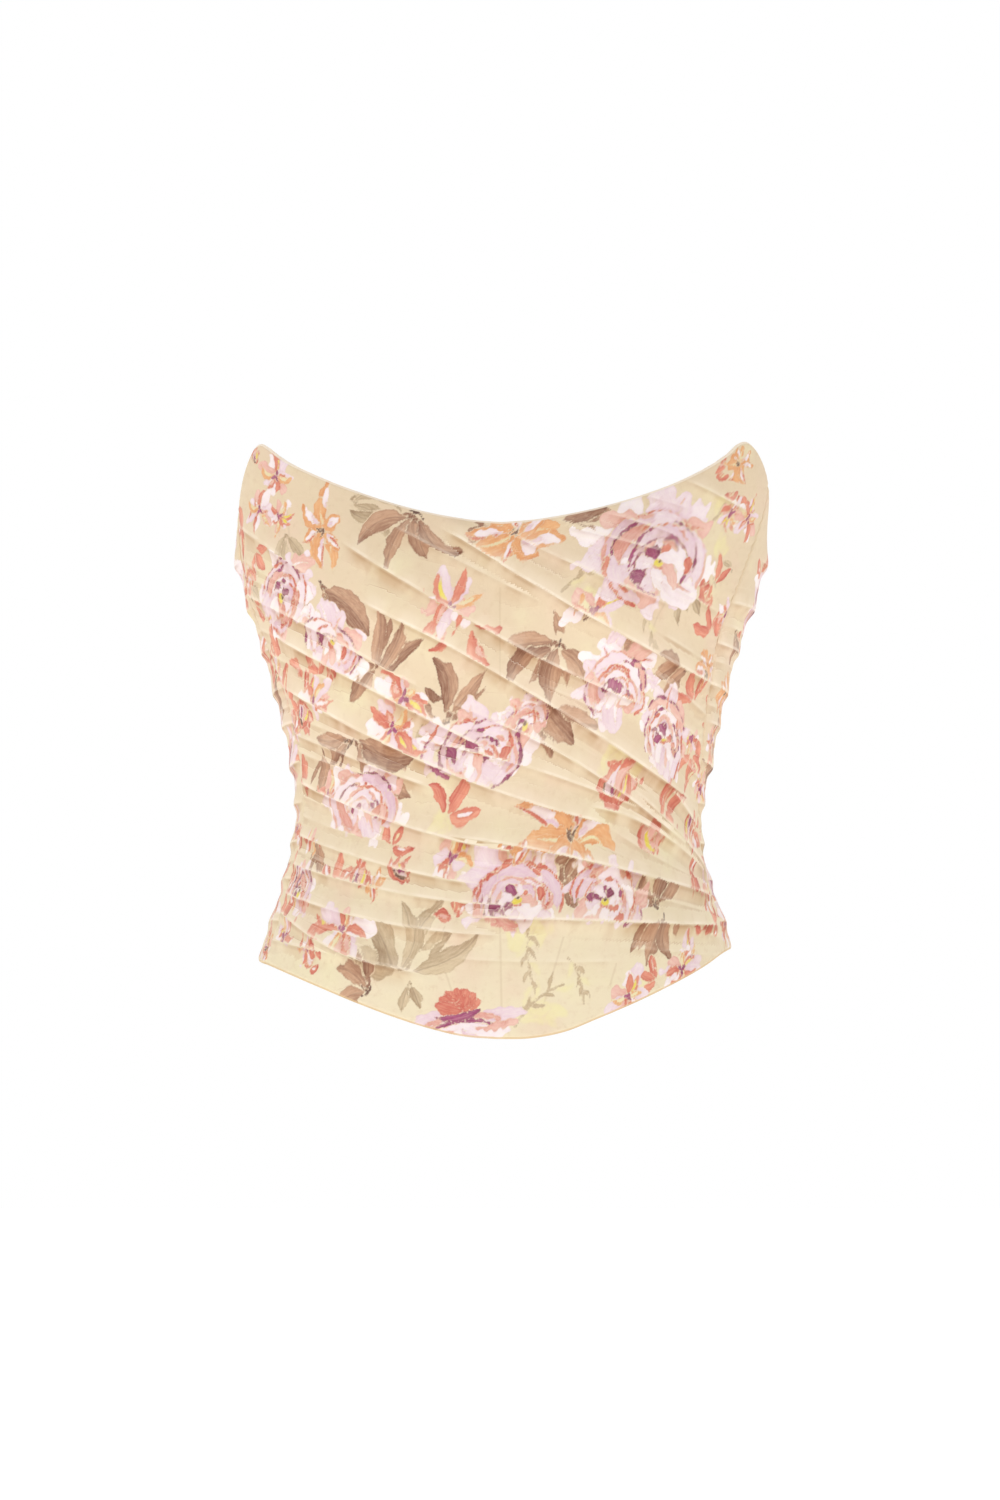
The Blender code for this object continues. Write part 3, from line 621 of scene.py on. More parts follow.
class Creases:
    """The crisp lower edges of a piece's folds, and how the print breaks at them."""

    FAR, NOWHERE, WEAK_IS_FAR = 15.0, 1e3, 7.0
    LEAST_STRENGTH, FULL_HEIGHT = 0.1, 3.2
    LIP_ABOVE, LIP_UNDER = 3.5, 1.3

    def __init__(self, folds, x, z, arc_per_x):
        shape = np.broadcast(x, z).shape
        self.above = np.full(shape, self.FAR)
        self.strength, self.jump, self.lip = np.zeros((3, *shape))
        least = np.full(shape, self.NOWHERE)
        for fold, above, ends in each_fold(folds, x, z, arc_per_x):
            strength = ends * min(1.0, self.LEAST_STRENGTH + fold.height / self.FULL_HEIGHT)
            rank = np.abs(above) + self.WEAK_IS_FAR * (1 - strength)
            nearer = rank < least
            least = np.where(nearer, rank, least)
            self.above = np.where(nearer, np.clip(above, -self.FAR, self.FAR), self.above)
            self.strength = np.where(nearer, strength, self.strength)
            side = np.where(above > 0, 1.0, -1.0)
            self.jump += side * PRINT_JUMP * fold.height * np.exp(-np.abs(above) / PRINT_REACH) * ends
            lip_width = np.where(above > 0, self.LIP_ABOVE, self.LIP_UNDER)
            self.lip = np.maximum(self.lip, LIP_SHARE * fold.height * hump(above, lip_width) * ends)


def held_by_seams(angle, z):
    away = np.minimum(np.abs(angle - left_seam(z)), np.abs(angle - right_seam(z))) * ARC_PER_DEGREE
    return SEAM_SHARE + (1 - SEAM_SHARE) * smooth(away / SEAM_REACH)


def front_raise(angle, z):
    return fold_height(FRONT_FOLDS, smooth_form(angle, z)[..., 0], z, 1.0) * held_by_seams(angle, z)


def side_back_raise(angle, z):
    folds = fold_height(SIDE_BACK_FOLDS, np.abs(angle), z, ARC_PER_DEGREE) * held_by_seams(angle, z)
    near_side = hump(np.abs(angle) - FLARE_ANGLE, FLARE_ROUND)
    return folds + FLARE_OUT * hump(z - FLARE_HEIGHT, FLARE_UP) * near_side


def back_raise(angle, z):
    return fold_height(BACK_FOLDS, np.abs(angle), z, ARC_PER_DEGREE)


# Brush strokes. A field is a distance in millimetres, negative inside the stroke


def curve(start, end, bend, count=7):
    """Points of an even curve between two points. bend is its rise as a share of its length."""
    start, end = np.asarray(start, float), np.asarray(end, float)
    along = end - start
    side = np.array([-along[1], along[0]])
    t = np.linspace(0, 1, count)[:, None]
    return start + along * t + side * bend * 4 * t * (1 - t)


def stroke(p, line, widths):
    """The field of a brush stroke with a half-width at each point of its line, and the places beside and
    along that line."""
    field = np.full(len(p), 1e3)
    beside, along = np.zeros(len(p)), np.zeros(len(p))
    run = 0.0
    for a, b, wide_a, wide_b in zip(line, line[1:], widths, widths[1:]):
        step = b - a
        length = max(math.hypot(*step), 1e-6)
        t = np.clip(((p - a) @ step) / length**2, 0, 1)
        off = p - a - t[:, None] * step
        here = np.hypot(off[:, 0], off[:, 1]) - (wide_a + (wide_b - wide_a) * t)
        nearer = here < field
        field = np.where(nearer, here, field)
        cross = (step[0] * (p[:, 1] - a[1]) - step[1] * (p[:, 0] - a[0])) / length
        beside = np.where(nearer, cross, beside)
        along = np.where(nearer, run + t * length, along)
        run += length
    return field, beside, along


def ragged(p, rng, amount, pitch):
    """An uneven edge: a sum of three waves in seeded directions."""
    total = np.zeros(len(p))
    for _ in range(3):
        way = rng.uniform(0, math.tau)
        wave = math.tau / (pitch * rng.uniform(0.7, 1.5))
        total += np.sin((p[:, 0] * math.cos(way) + p[:, 1] * math.sin(way)) * wave + rng.uniform(0, 6))
    return amount * total / 2


PETAL = np.array([0.30, 0.62, 0.86, 1.0, 0.98, 0.80, 0.48])
POINTED = np.array([0.16, 0.66, 0.96, 1.0, 0.82, 0.46, 0.02])
TAPER = np.array([0.6, 1.0, 1.0, 0.86, 0.66, 0.42, 0.16])
BROW = np.array([0.25, 0.7, 1.0, 1.1, 0.9, 0.6, 0.25])


class Spot:
    """The part of a cloth piece round one flower or spray, in the flower's own frame."""

    def __init__(self, cloth, x, z, turn, reach, seed):
        offset = cloth.places - np.array([x, z])
        self.where = np.flatnonzero((np.abs(offset) < reach).all(axis=1))
        c, s = math.cos(math.radians(turn)), math.sin(math.radians(turn))
        offset = offset[self.where]
        self.p = np.column_stack([offset[:, 0] * c + offset[:, 1] * s, offset[:, 1] * c - offset[:, 0] * s])
        self.cloth = cloth
        self.rng = np.random.default_rng(seed)

    def lay(self, ink, drawn, tone=0.0, gap=0.0, veined=0.0):
        """Lays a drawn stroke, with a bare gap round it if asked."""
        field, beside, along = drawn
        shift = self.rng.uniform(0, 60)
        self.cloth.lay(ink, self.where, field, tone, gap, (beside, along + shift), veined)

    def petal(self, ink, start, end, width, bend=0.0, profile=PETAL, tone=0.0, edge=0.5, pitch=8.0, gap=0.0):
        """One petal. Its tone may differ at its start and end."""
        line = curve(start, end, bend)
        field, beside, along = stroke(self.p, line, width * profile)
        field = field + ragged(self.p, self.rng, edge, pitch)
        if np.ndim(tone):
            t = along / max(along.max(initial=0.0), 1e-6)
            tone = tone[0] * (1 - t) + tone[1] * t
        self.lay(ink, (field, beside, along), tone, gap)

    def line(self, ink, start, end, width, bend=0.0, tone=0.0):
        """A thin tapered line."""
        self.lay(ink, stroke(self.p, curve(start, end, bend), width * TAPER), tone)

    def brow(self, ink, centre, radii, turn, half_angle, width, tone=0.0, edge=0.3):
        """A curved band round the upper side of an oval."""
        angles = np.radians(turn + np.linspace(-half_angle, half_angle, 7))
        line = np.asarray(centre) + np.column_stack([radii[0] * np.cos(angles), radii[1] * np.sin(angles)])
        field, beside, along = stroke(self.p, line, width * BROW)
        self.lay(ink, (field + ragged(self.p, self.rng, edge, 5), beside, along), tone)


def towards(angle, length):
    return np.array([math.cos(math.radians(angle)), math.sin(math.radians(angle))]) * length


def oval(angle, wide, tall):
    return np.array([math.cos(math.radians(angle)) * wide, math.sin(math.radians(angle)) * tall])


PALE_PETALS = "lilac blush lilac white lilac blush lilac lilac white blush lilac white".split()
CUP_PETALS, CUP_EDGES = "lilac white blush lilac lilac white".split(), "coral plum blush plum coral".split()
HEART_PETALS = "plum coral white plum plum white plum".split()
DOME_PETALS = "blush lilac white blush white lilac white blush lilac".split()
CUP_RINGS = ((0.80, 4, 200), (0.63, 4, 190), (0.46, 3, 170), (0.30, 3, 160))


def peony(spot, wide, tall):
    """A full flower seen a little from the side: broad pale petals, and a cup of crescent petals that opens
    upward over a plum and yellow heart."""
    rng = spot.rng
    mean = (wide + tall) / 2
    up = rng.uniform(55, 125)
    heart = towards(up + 180, mean * 0.22)
    start = rng.uniform(0, 360)
    outer = int(rng.integers(10, 13))
    for k in range(7):
        tip = oval(51 * k + rng.uniform(-20, 20), wide, tall) * rng.uniform(1.0, 1.25)
        ink = "lilac" if k % 3 else "white"
        width = mean * rng.uniform(0.16, 0.26)
        spot.petal(ink, tip * 0.3, tip, width, tone=(-0.2, -1.0), edge=0.06 * mean, pitch=6)
    for k in range(outer):
        angle = start + 360 * k / outer + rng.uniform(-13, 13)
        tip = oval(angle, wide, tall) * rng.uniform(0.84, 1.12)
        base = heart + (tip - heart) * 0.2
        ink = PALE_PETALS[k]
        width, bend = mean * rng.uniform(0.19, 0.29), rng.uniform(-0.25, 0.25)
        spot.petal(ink, base, tip, width, bend, tone=(0.5, -0.6), edge=0.05 * mean, pitch=mean * 0.3)
        if rng.random() < 0.6:
            line_ink = ("blush", "white", "coral")[k % 3]
            tone = 0.7 if ink == "white" else -0.6
            spot.line(line_ink, base + (tip - base) * 0.2, tip * 0.98, 0.03 * mean + 0.3, bend + 0.12, tone)
    for radius, count, sweep in CUP_RINGS:
        for k in range(count):
            angle = up + sweep * (k / (count - 1) - 0.5) + rng.uniform(-14, 14)
            centre = heart + towards(rng.uniform(0, 360), mean * 0.05)
            size = radius * rng.uniform(0.88, 1.1)
            half = 0.62 * sweep / (count - 1) * rng.uniform(0.7, 1.1)
            ink = CUP_PETALS[int(rng.integers(6))]
            edge_ink = CUP_EDGES[int(rng.integers(5))]
            radii = np.array([wide, tall])
            outside = radii * (size + 0.065 + 0.5 / mean)
            tone = rng.uniform(-0.5, 0.6)
            spot.brow(edge_ink, centre, outside, angle, half, mean * 0.055 + 0.25, tone, 0.4)
            tone = rng.uniform(-0.6, 0.9)
            spot.brow(ink, centre, radii * size, angle, half * 0.96, mean * 0.10 + 0.3, tone, 0.5)
    for k in range(7):
        angle = up + 38 * (k - 3) + rng.uniform(-12, 12)
        far = heart + oval(angle, wide, tall) * rng.uniform(0.2, 0.36)
        near = heart + oval(angle + rng.uniform(-40, 40), wide, tall) * 0.06
        ink = HEART_PETALS[k]
        width = mean * rng.uniform(0.05, 0.11) + 0.4
        spot.petal(ink, far, near, width, rng.uniform(-0.3, 0.3), TAPER, rng.uniform(-0.4, 0.9), 0.6, 3)
    for side in (-1, 1):
        corner = heart + oval(up + side * rng.uniform(70, 110), wide, tall) * rng.uniform(0.4, 0.6)
        end = corner + towards(up + 180 + side * 40, mean * 0.2)
        spot.petal("plum" if side > 0 else "coral", corner, end, mean * 0.08 + 0.4, 0.2, TAPER, 0.4, 0.6, 3)
    for k in range(4):
        angle = up + 180 + 34 * (k - 1.5) + rng.uniform(-9, 9)
        tip = heart + oval(angle, wide, tall) * rng.uniform(0.34, 0.52)
        ink = ("lilac", "white", "blush", "white")[k]
        spot.petal(ink, heart, tip, mean * 0.11, rng.uniform(-0.3, 0.3), tone=(0.3, -0.8), edge=0.7, pitch=5)
    side = heart + towards(up + 180, mean * 0.03)
    start, end = side + (-mean * 0.15, -1.0), side + (mean * 0.1, -1.6)
    spot.petal("coral", start, end, 1.1, tone=0.1, edge=0.4, pitch=3)
    start, end = side - (mean * 0.08, 0), side + (mean * 0.09, 0.5)
    spot.petal("yellow", start, end, 0.8 + mean * 0.035, tone=-0.2, edge=0.3)
    spot.petal("vein", side + (0, 1.1), side + (mean * 0.06, 1.5), 0.8, tone=0.1, edge=0.2, pitch=2)


def dome(spot, wide, tall):
    """A half-open flower by the hem: a coral dome with a plum foot over wide pale petals."""
    rng = spot.rng
    low = np.array([0.0, -tall * 0.5])
    for k in range(9):
        angle = 165 + 26 * k + rng.uniform(-6, 6)
        ink = DOME_PETALS[k]
        tip = low + oval(angle, wide, tall * 0.8) * rng.uniform(0.9, 1.1)
        spot.petal(ink, low, tip, tall * 0.26, rng.uniform(-0.2, 0.2), tone=(0.6, -0.5), edge=0.9, pitch=6)
    foot = low - (0, tall * 0.35)
    spot.brow("blush", foot, (wide * 0.8, tall * 0.62), 90, 74, 1.6, 0.4, 0.5)
    spot.brow("plum", foot, (wide * 0.62, tall * 0.42), 90, 66, 1.0, 0.1, 0.5)
    spot.brow("white", foot, (wide * 0.5, tall * 0.25), 90, 60, 1.4, 0.0, 0.5)
    for k in range(7):
        tip = oval(18 + 24 * k, wide * 0.36, tall * 0.62)
        tone = (0.5, rng.uniform(-0.5, 0.3))
        spot.petal("coral", (0, -tall * 0.1), tip, tall * 0.26, tone=tone, edge=0.5, pitch=5)
    left, right = (-wide * 0.4, -tall * 0.2), (wide * 0.34, -tall * 0.14)
    spot.petal("plum", left, right, tall * 0.13, -0.08, tone=(-0.1, 0.3), edge=0.5, pitch=4)


def star(spot, wide, tall):
    """A starry blossom: coral and yellow petals on a pale halo."""
    rng = spot.rng
    mean = (wide + tall) / 2
    for k in range(7):
        tip = oval(51 * k + rng.uniform(-18, 18), wide, tall) * rng.uniform(0.62, 0.98)
        ink = ("lilac", "white", "blush")[k % 3]
        spot.petal(ink, tip * 0.1, tip, mean * rng.uniform(0.15, 0.24), tone=(0.3, -0.7), edge=0.9, pitch=6)
    petals = int(rng.integers(7, 10))
    for k in range(petals):
        angle = 360 * k / petals + rng.uniform(-16, 16)
        tip = oval(angle, wide, tall) * rng.uniform(0.5, 1.12)
        bend = rng.uniform(-0.3, 0.3)
        width = mean * rng.uniform(0.08, 0.14)
        inner = ("yellow", "white", "lemon", "blush")[k % 4]
        outer = "orange" if k % 4 == 2 else "coral"
        spot.petal(outer, tip * 0.08, tip, width, bend, POINTED, (rng.uniform(0, 0.6), -0.6), 0.4, 4)
        if k % 3 != 1:
            spot.petal(inner, tip * 0.2, tip * 0.8, width * 0.5, bend, POINTED, -0.4, 0.2, 4)
    for k in range(3):
        tip = towards(120 * k + rng.uniform(-20, 20), rng.uniform(1.8, 3.4))
        spot.petal("plum", (0, 0), tip, 0.9, tone=rng.uniform(-0.6, 0.2), edge=0.3, pitch=3)


def lily(spot, wide, tall):
    """Pointed petals with orange outlines and pale insides, some of them solid orange."""
    rng = spot.rng
    mean = (wide + tall) / 2
    for k, angle in enumerate((-24, 14, 52, 92, 130, 168, 206, 250, 290)):
        angle += rng.uniform(-11, 11)
        tip = oval(angle, wide, tall) * rng.uniform(0.75, 1.15)
        bend = rng.uniform(-0.22, 0.22)
        width = mean * rng.uniform(0.13, 0.2) + 0.4
        if k in (1, 4, 6):
            spot.petal("orange", (0, 0), tip * 0.9, width * 1.15, bend, POINTED, (0.6, -0.6), 0.8, 5, 0.3)
            spot.line("lemon", tip * 0.15, tip * 0.66, 0.7, bend, -0.5)
            continue
        spot.petal("orange", (0, 0), tip, width, bend, POINTED, (-0.2, 0.5), 0.6, 5, 0.3)
        spot.petal("white", tip * 0.24, tip * 0.88, width * 0.6, bend * 0.8, POINTED, (0.4, -0.7), 0.5, 4)
        spot.petal("lilac", tip * 0.2, tip * 0.56, width * 0.3, bend, POINTED, 0.1, 0.3, 4)
        if k % 2:
            spot.line("coral", tip * 0.4, tip * 1.02, 0.75, bend + 0.12, 0.1)
    for k in range(3):
        tip = towards(80 + 34 * k + rng.uniform(-10, 10), mean * 0.26)
        spot.line("vein", (0, 0), tip, 0.75, 0.1, -0.4)


def bud(spot, wide, tall):
    """A closed flower: coral outer petals round a plum gap and a yellow streak."""
    rng = spot.rng
    for angle, share in ((62, 0.28), (-62, 0.28), (26, 0.3), (-26, 0.3), (0, 0.3)):
        tip = oval(angle, wide, tall) * rng.uniform(0.85, 1.0)
        bend = -0.28 if angle > 0 else 0.28
        base = (-wide * 0.55, 0)
        spot.petal("coral", base, tip, tall * share, bend, POINTED, (0.5, -0.1), 0.5, 4, 0.25)
        ink = "blush" if angle else "lilac"
        spot.petal(ink, (-wide * 0.38, 0), tip * 0.86, tall * share * 0.6, bend, POINTED, (0.3, -0.6), 0.3, 4)
    spot.petal("plum", (-wide * 0.2, 0.4), (wide * 0.5, tall * 0.2), 0.9, 0.2, POINTED, -0.1, 0.3, 3)
    spot.line("yellow", (-wide * 0.1, -0.8), (wide * 0.6, -tall * 0.25), 0.8, -0.1, -0.2)
    spot.line("vein", (-wide * 0.4, rng.uniform(-1, 1)), (wide * 0.3, tall * 0.5), 0.7, 0.15, -0.5)


def wash(spot, wide, tall):
    """A thin lemon blot under the other inks."""
    for k in range(3):
        tip = oval(120 * k + spot.rng.uniform(-30, 30), wide, tall) * 0.55
        spot.petal("lemon", -tip * 0.5, tip, tall * 0.5, tone=-0.3, edge=1.8, pitch=8)


FLOWER_KINDS = {"peony": peony, "dome": dome, "star": star, "lily": lily, "bud": bud, "wash": wash}


def leaf(spot, ink, tip, width, bend):
    """A pointed leaf on a short stalk, sometimes with side lobes, with a shaded half and veins."""
    rng = spot.rng
    tip = np.asarray(tip)
    length = max(math.hypot(*tip), 1e-6)
    side = np.array([-tip[1], tip[0]]) / length
    if ink != "coral":
        spot.line("leaf" if ink == "leaf" else "greige", tip * 0.02, tip * 0.3, 0.7, bend, 0.6)
    field, beside, along = stroke(spot.p, curve(tip * 0.14, tip, bend), width * POINTED)
    for way in (-1, 1):
        if rng.random() < 0.4 and ink != "coral":
            lobe = tip * rng.uniform(0.62, 0.86) + side * way * width * rng.uniform(1.1, 1.6)
            lobe_field, _, _ = stroke(spot.p, curve(tip * 0.32, lobe, 0.12 * way), width * 0.42 * POINTED)
            field = np.minimum(field, lobe_field)
    field = field + ragged(spot.p, rng, 0.45, 7)
    share = along / length
    shaded = rng.choice((-0.6, 0.6)) * np.tanh(beside / 1.2)
    tone = rng.uniform(-0.9, 0.35) + shaded + rng.uniform(0, 4) * np.clip(share - 0.62, 0, 1)
    spot.lay(ink, (field, beside, along), np.clip(tone, -1, 1), 0.5, 0.3 if ink == "coral" else 1.0)
    if ink == "coral":
        if rng.random() < 0.5:
            inner = rng.choice(("blush", "white", "lemon"))
            spot.petal(inner, tip * 0.35, tip * 0.78, width * 0.26, bend, POINTED, -0.3, 0.3, 4)
        return
    if ink == "leaf" and rng.random() < 0.4:
        spot.petal("vein", -tip * 0.05, tip * 0.24, 0.7, 0.2, TAPER, rng.uniform(-0.6, 0.3), 0.3, 3)


def twig(spot, length, spread, count):
    """A thin bent stem with short pale leaves on both sides."""
    rng = spot.rng
    stem = curve((0, 0), (length * 1.3, 0), rng.uniform(-0.14, 0.14), 9)
    spot.lay("greige", stroke(spot.p, stem, np.linspace(0.75, 0.6, 9)), -0.5)
    for k in range(2 * count):
        root = stem[1 + k % 7]
        way = spread * (0.5 if k % 2 else -0.5) + rng.uniform(-10, 10)
        tip = root + towards(way, length * rng.uniform(0.26, 0.42))
        ink = "lemon" if k % 3 == 0 else "greige"
        spot.petal(ink, root, tip, 1.1, rng.uniform(-0.2, 0.2), POINTED, rng.uniform(-0.9, -0.2), 0.2, 4)


def spray(spot, ink, length, spread, count):
    """Leaves that fan out from one stem."""
    rng = spot.rng
    if ink == "twig":
        twig(spot, length, spread, count)
        return
    for k in range(count):
        angle = spread * (k / (count - 1) - 0.5) if count > 1 else 0.0
        tip = towards(angle + rng.uniform(-7, 7), length * rng.uniform(0.94, 1.38))
        width = length * rng.uniform(0.12, 0.2) + 0.5
        leaf(spot, ink, tip, width, rng.uniform(-0.2, 0.2))


class Print:
    """The inks on one cloth piece: for each, a field over the places of its outer side."""

    def __init__(self, across, up):
        self.places = np.column_stack([across.ravel(), up.ravel()])
        count = len(self.places)
        self.inks = {ink: np.full(count, NO_INK) for ink in INKS}
        self.tone = np.zeros(count)
        self.brush = np.zeros((count, 2))
        self.veined = np.zeros(count)

    def lay(self, ink, where, field, tone, gap, brush, veined):
        for laid in self.inks.values():
            laid[where] = np.maximum(laid[where], gap - field)
        self.inks[ink][where] = np.minimum(self.inks[ink][where], field)
        inside = field < 0.5
        covered = where[inside]
        self.tone[covered] = (tone + 0 * field)[inside]
        self.brush[covered] = np.stack(brush, axis=-1)[inside]
        self.veined[covered] = veined

    def depth(self):
        """How deep a place lies in its own stroke, whatever the ink."""
        return np.min(list(self.inks.values()), axis=0)

    def draw(self, flowers, sprays, place_of):
        """Sprays lie under flowers, and washes under both."""
        for flower in flowers:
            if flower.kind == "wash":
                self.flower(flower, place_of)
        for item in sprays:
            x, z = place_of(item.x, item.z)
            spot = Spot(self, x, z, item.turn, item.length * 1.7, item.seed)
            spray(spot, item.ink, item.length, item.spread, item.count)
        for flower in flowers:
            if flower.kind != "wash":
                self.flower(flower, place_of)

    def flower(self, flower, place_of):
        x, z = place_of(flower.x, flower.z)
        reach = max(flower.wide, flower.tall) * 1.8
        spot = Spot(self, x, z, flower.turn, reach, flower.seed)
        FLOWER_KINDS[flower.kind](spot, flower.wide, flower.tall)


# Meshes


def fine_steps(cells):
    """Shares from 0 to 1 with fine steps at both ends."""
    middle = np.linspace(NEXT_STEP, 1 - NEXT_STEP, cells + 1 - 2 * len(FINE_STEPS))
    ends = np.array(FINE_STEPS)
    return np.concatenate([ends, middle, 1 - ends[::-1]])


def patch(start, end, grid):
    """Angles and heights of a piece's grid between two boundaries, the hem and the top edge."""
    across = fine_steps(grid.columns)[:, None]
    upward = fine_steps(grid.rows)[None, :]
    z = np.zeros((grid.columns + 1, grid.rows + 1))
    for _ in range(PATCH_ROUNDS):
        angle = start(z) + across * (end(z) - start(z))
        low, high = edge_height(HEM, angle), edge_height(TOP_EDGE, angle)
        z = z + PATCH_STEP * (low + upward * (high - low) - z)
    return angle, z


def grid_faces(columns, rows, first):
    """Corner numbers of a grid's quads, numbered column by column from first."""
    i, j = np.meshgrid(np.arange(columns), np.arange(rows), indexing="ij")
    corner = first + i * (rows + 1) + j
    return np.stack([corner, corner + rows + 1, corner + rows + 2, corner + 1], axis=-1).reshape(-1, 4)


def border_numbers(columns, rows, first):
    """Corner numbers along a grid's four edges, in order round it."""
    number = first + np.arange((columns + 1) * (rows + 1)).reshape(columns + 1, rows + 1)
    return number[:, 0], number[-1, :], number[::-1, -1], number[0, ::-1]


def rim_faces(fine, coarse):
    """Triangles between a fine edge and a coarser one."""
    ratio = (len(fine) - 1) // (len(coarse) - 1)
    half = ratio // 2
    faces = []
    for j in range(len(coarse) - 1):
        run = fine[j * ratio : (j + 1) * ratio + 1]
        for k in range(ratio):
            faces.append((run[k + 1], run[k], coarse[j] if k < half else coarse[j + 1]))
        faces.append((coarse[j + 1], run[half], coarse[j]))
    return faces


def put(mesh, name, values):
    """Adds an attribute of the mesh's corners, of numbers or of vectors."""
    values = np.asarray(values, np.float32)
    kind, field = ("FLOAT_VECTOR", "vector") if values.ndim > 1 else ("FLOAT", "value")
    mesh.attributes.new(name, kind, "POINT").data.foreach_set(field, values.ravel())


def link_piece(name, mesh, body, slot, *nodes):
    """Puts a piece in the scene in place of its solids."""
    made = bpy.data.objects.new(name, mesh)
    bpy.context.scene.collection.objects.link(made)
    if nodes:
        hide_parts(*nodes)
    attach(made, body)
    return made


# How a piece is cut: its folds, its cloth wall, and the flat cloth it takes in metres and square metres
Cut = namedtuple("Cut", "raised folds gathers grid flat area held")
FRONT_CUT = Cut(front_raise, FRONT_FOLDS, FRONT_GATHERS, FRONT_GRID, (0.37, 0.36), 0.098, "gathered")
SIDE_FOLDS = (SIDE_BACK_FOLDS, SIDE_BACK_GATHERS)
SIDE_CUT = Cut(side_back_raise, *SIDE_FOLDS, SIDE_GRID, (0.135, 0.33), 0.028, "gathered")
BACK_CUT = Cut(back_raise, BACK_FOLDS, BACK_GATHERS, SIDE_GRID, (0.115, 0.235), 0.022, "stretched")

ClothPlan = namedtuple("ClothPlan", "name node start end cut rests_on")


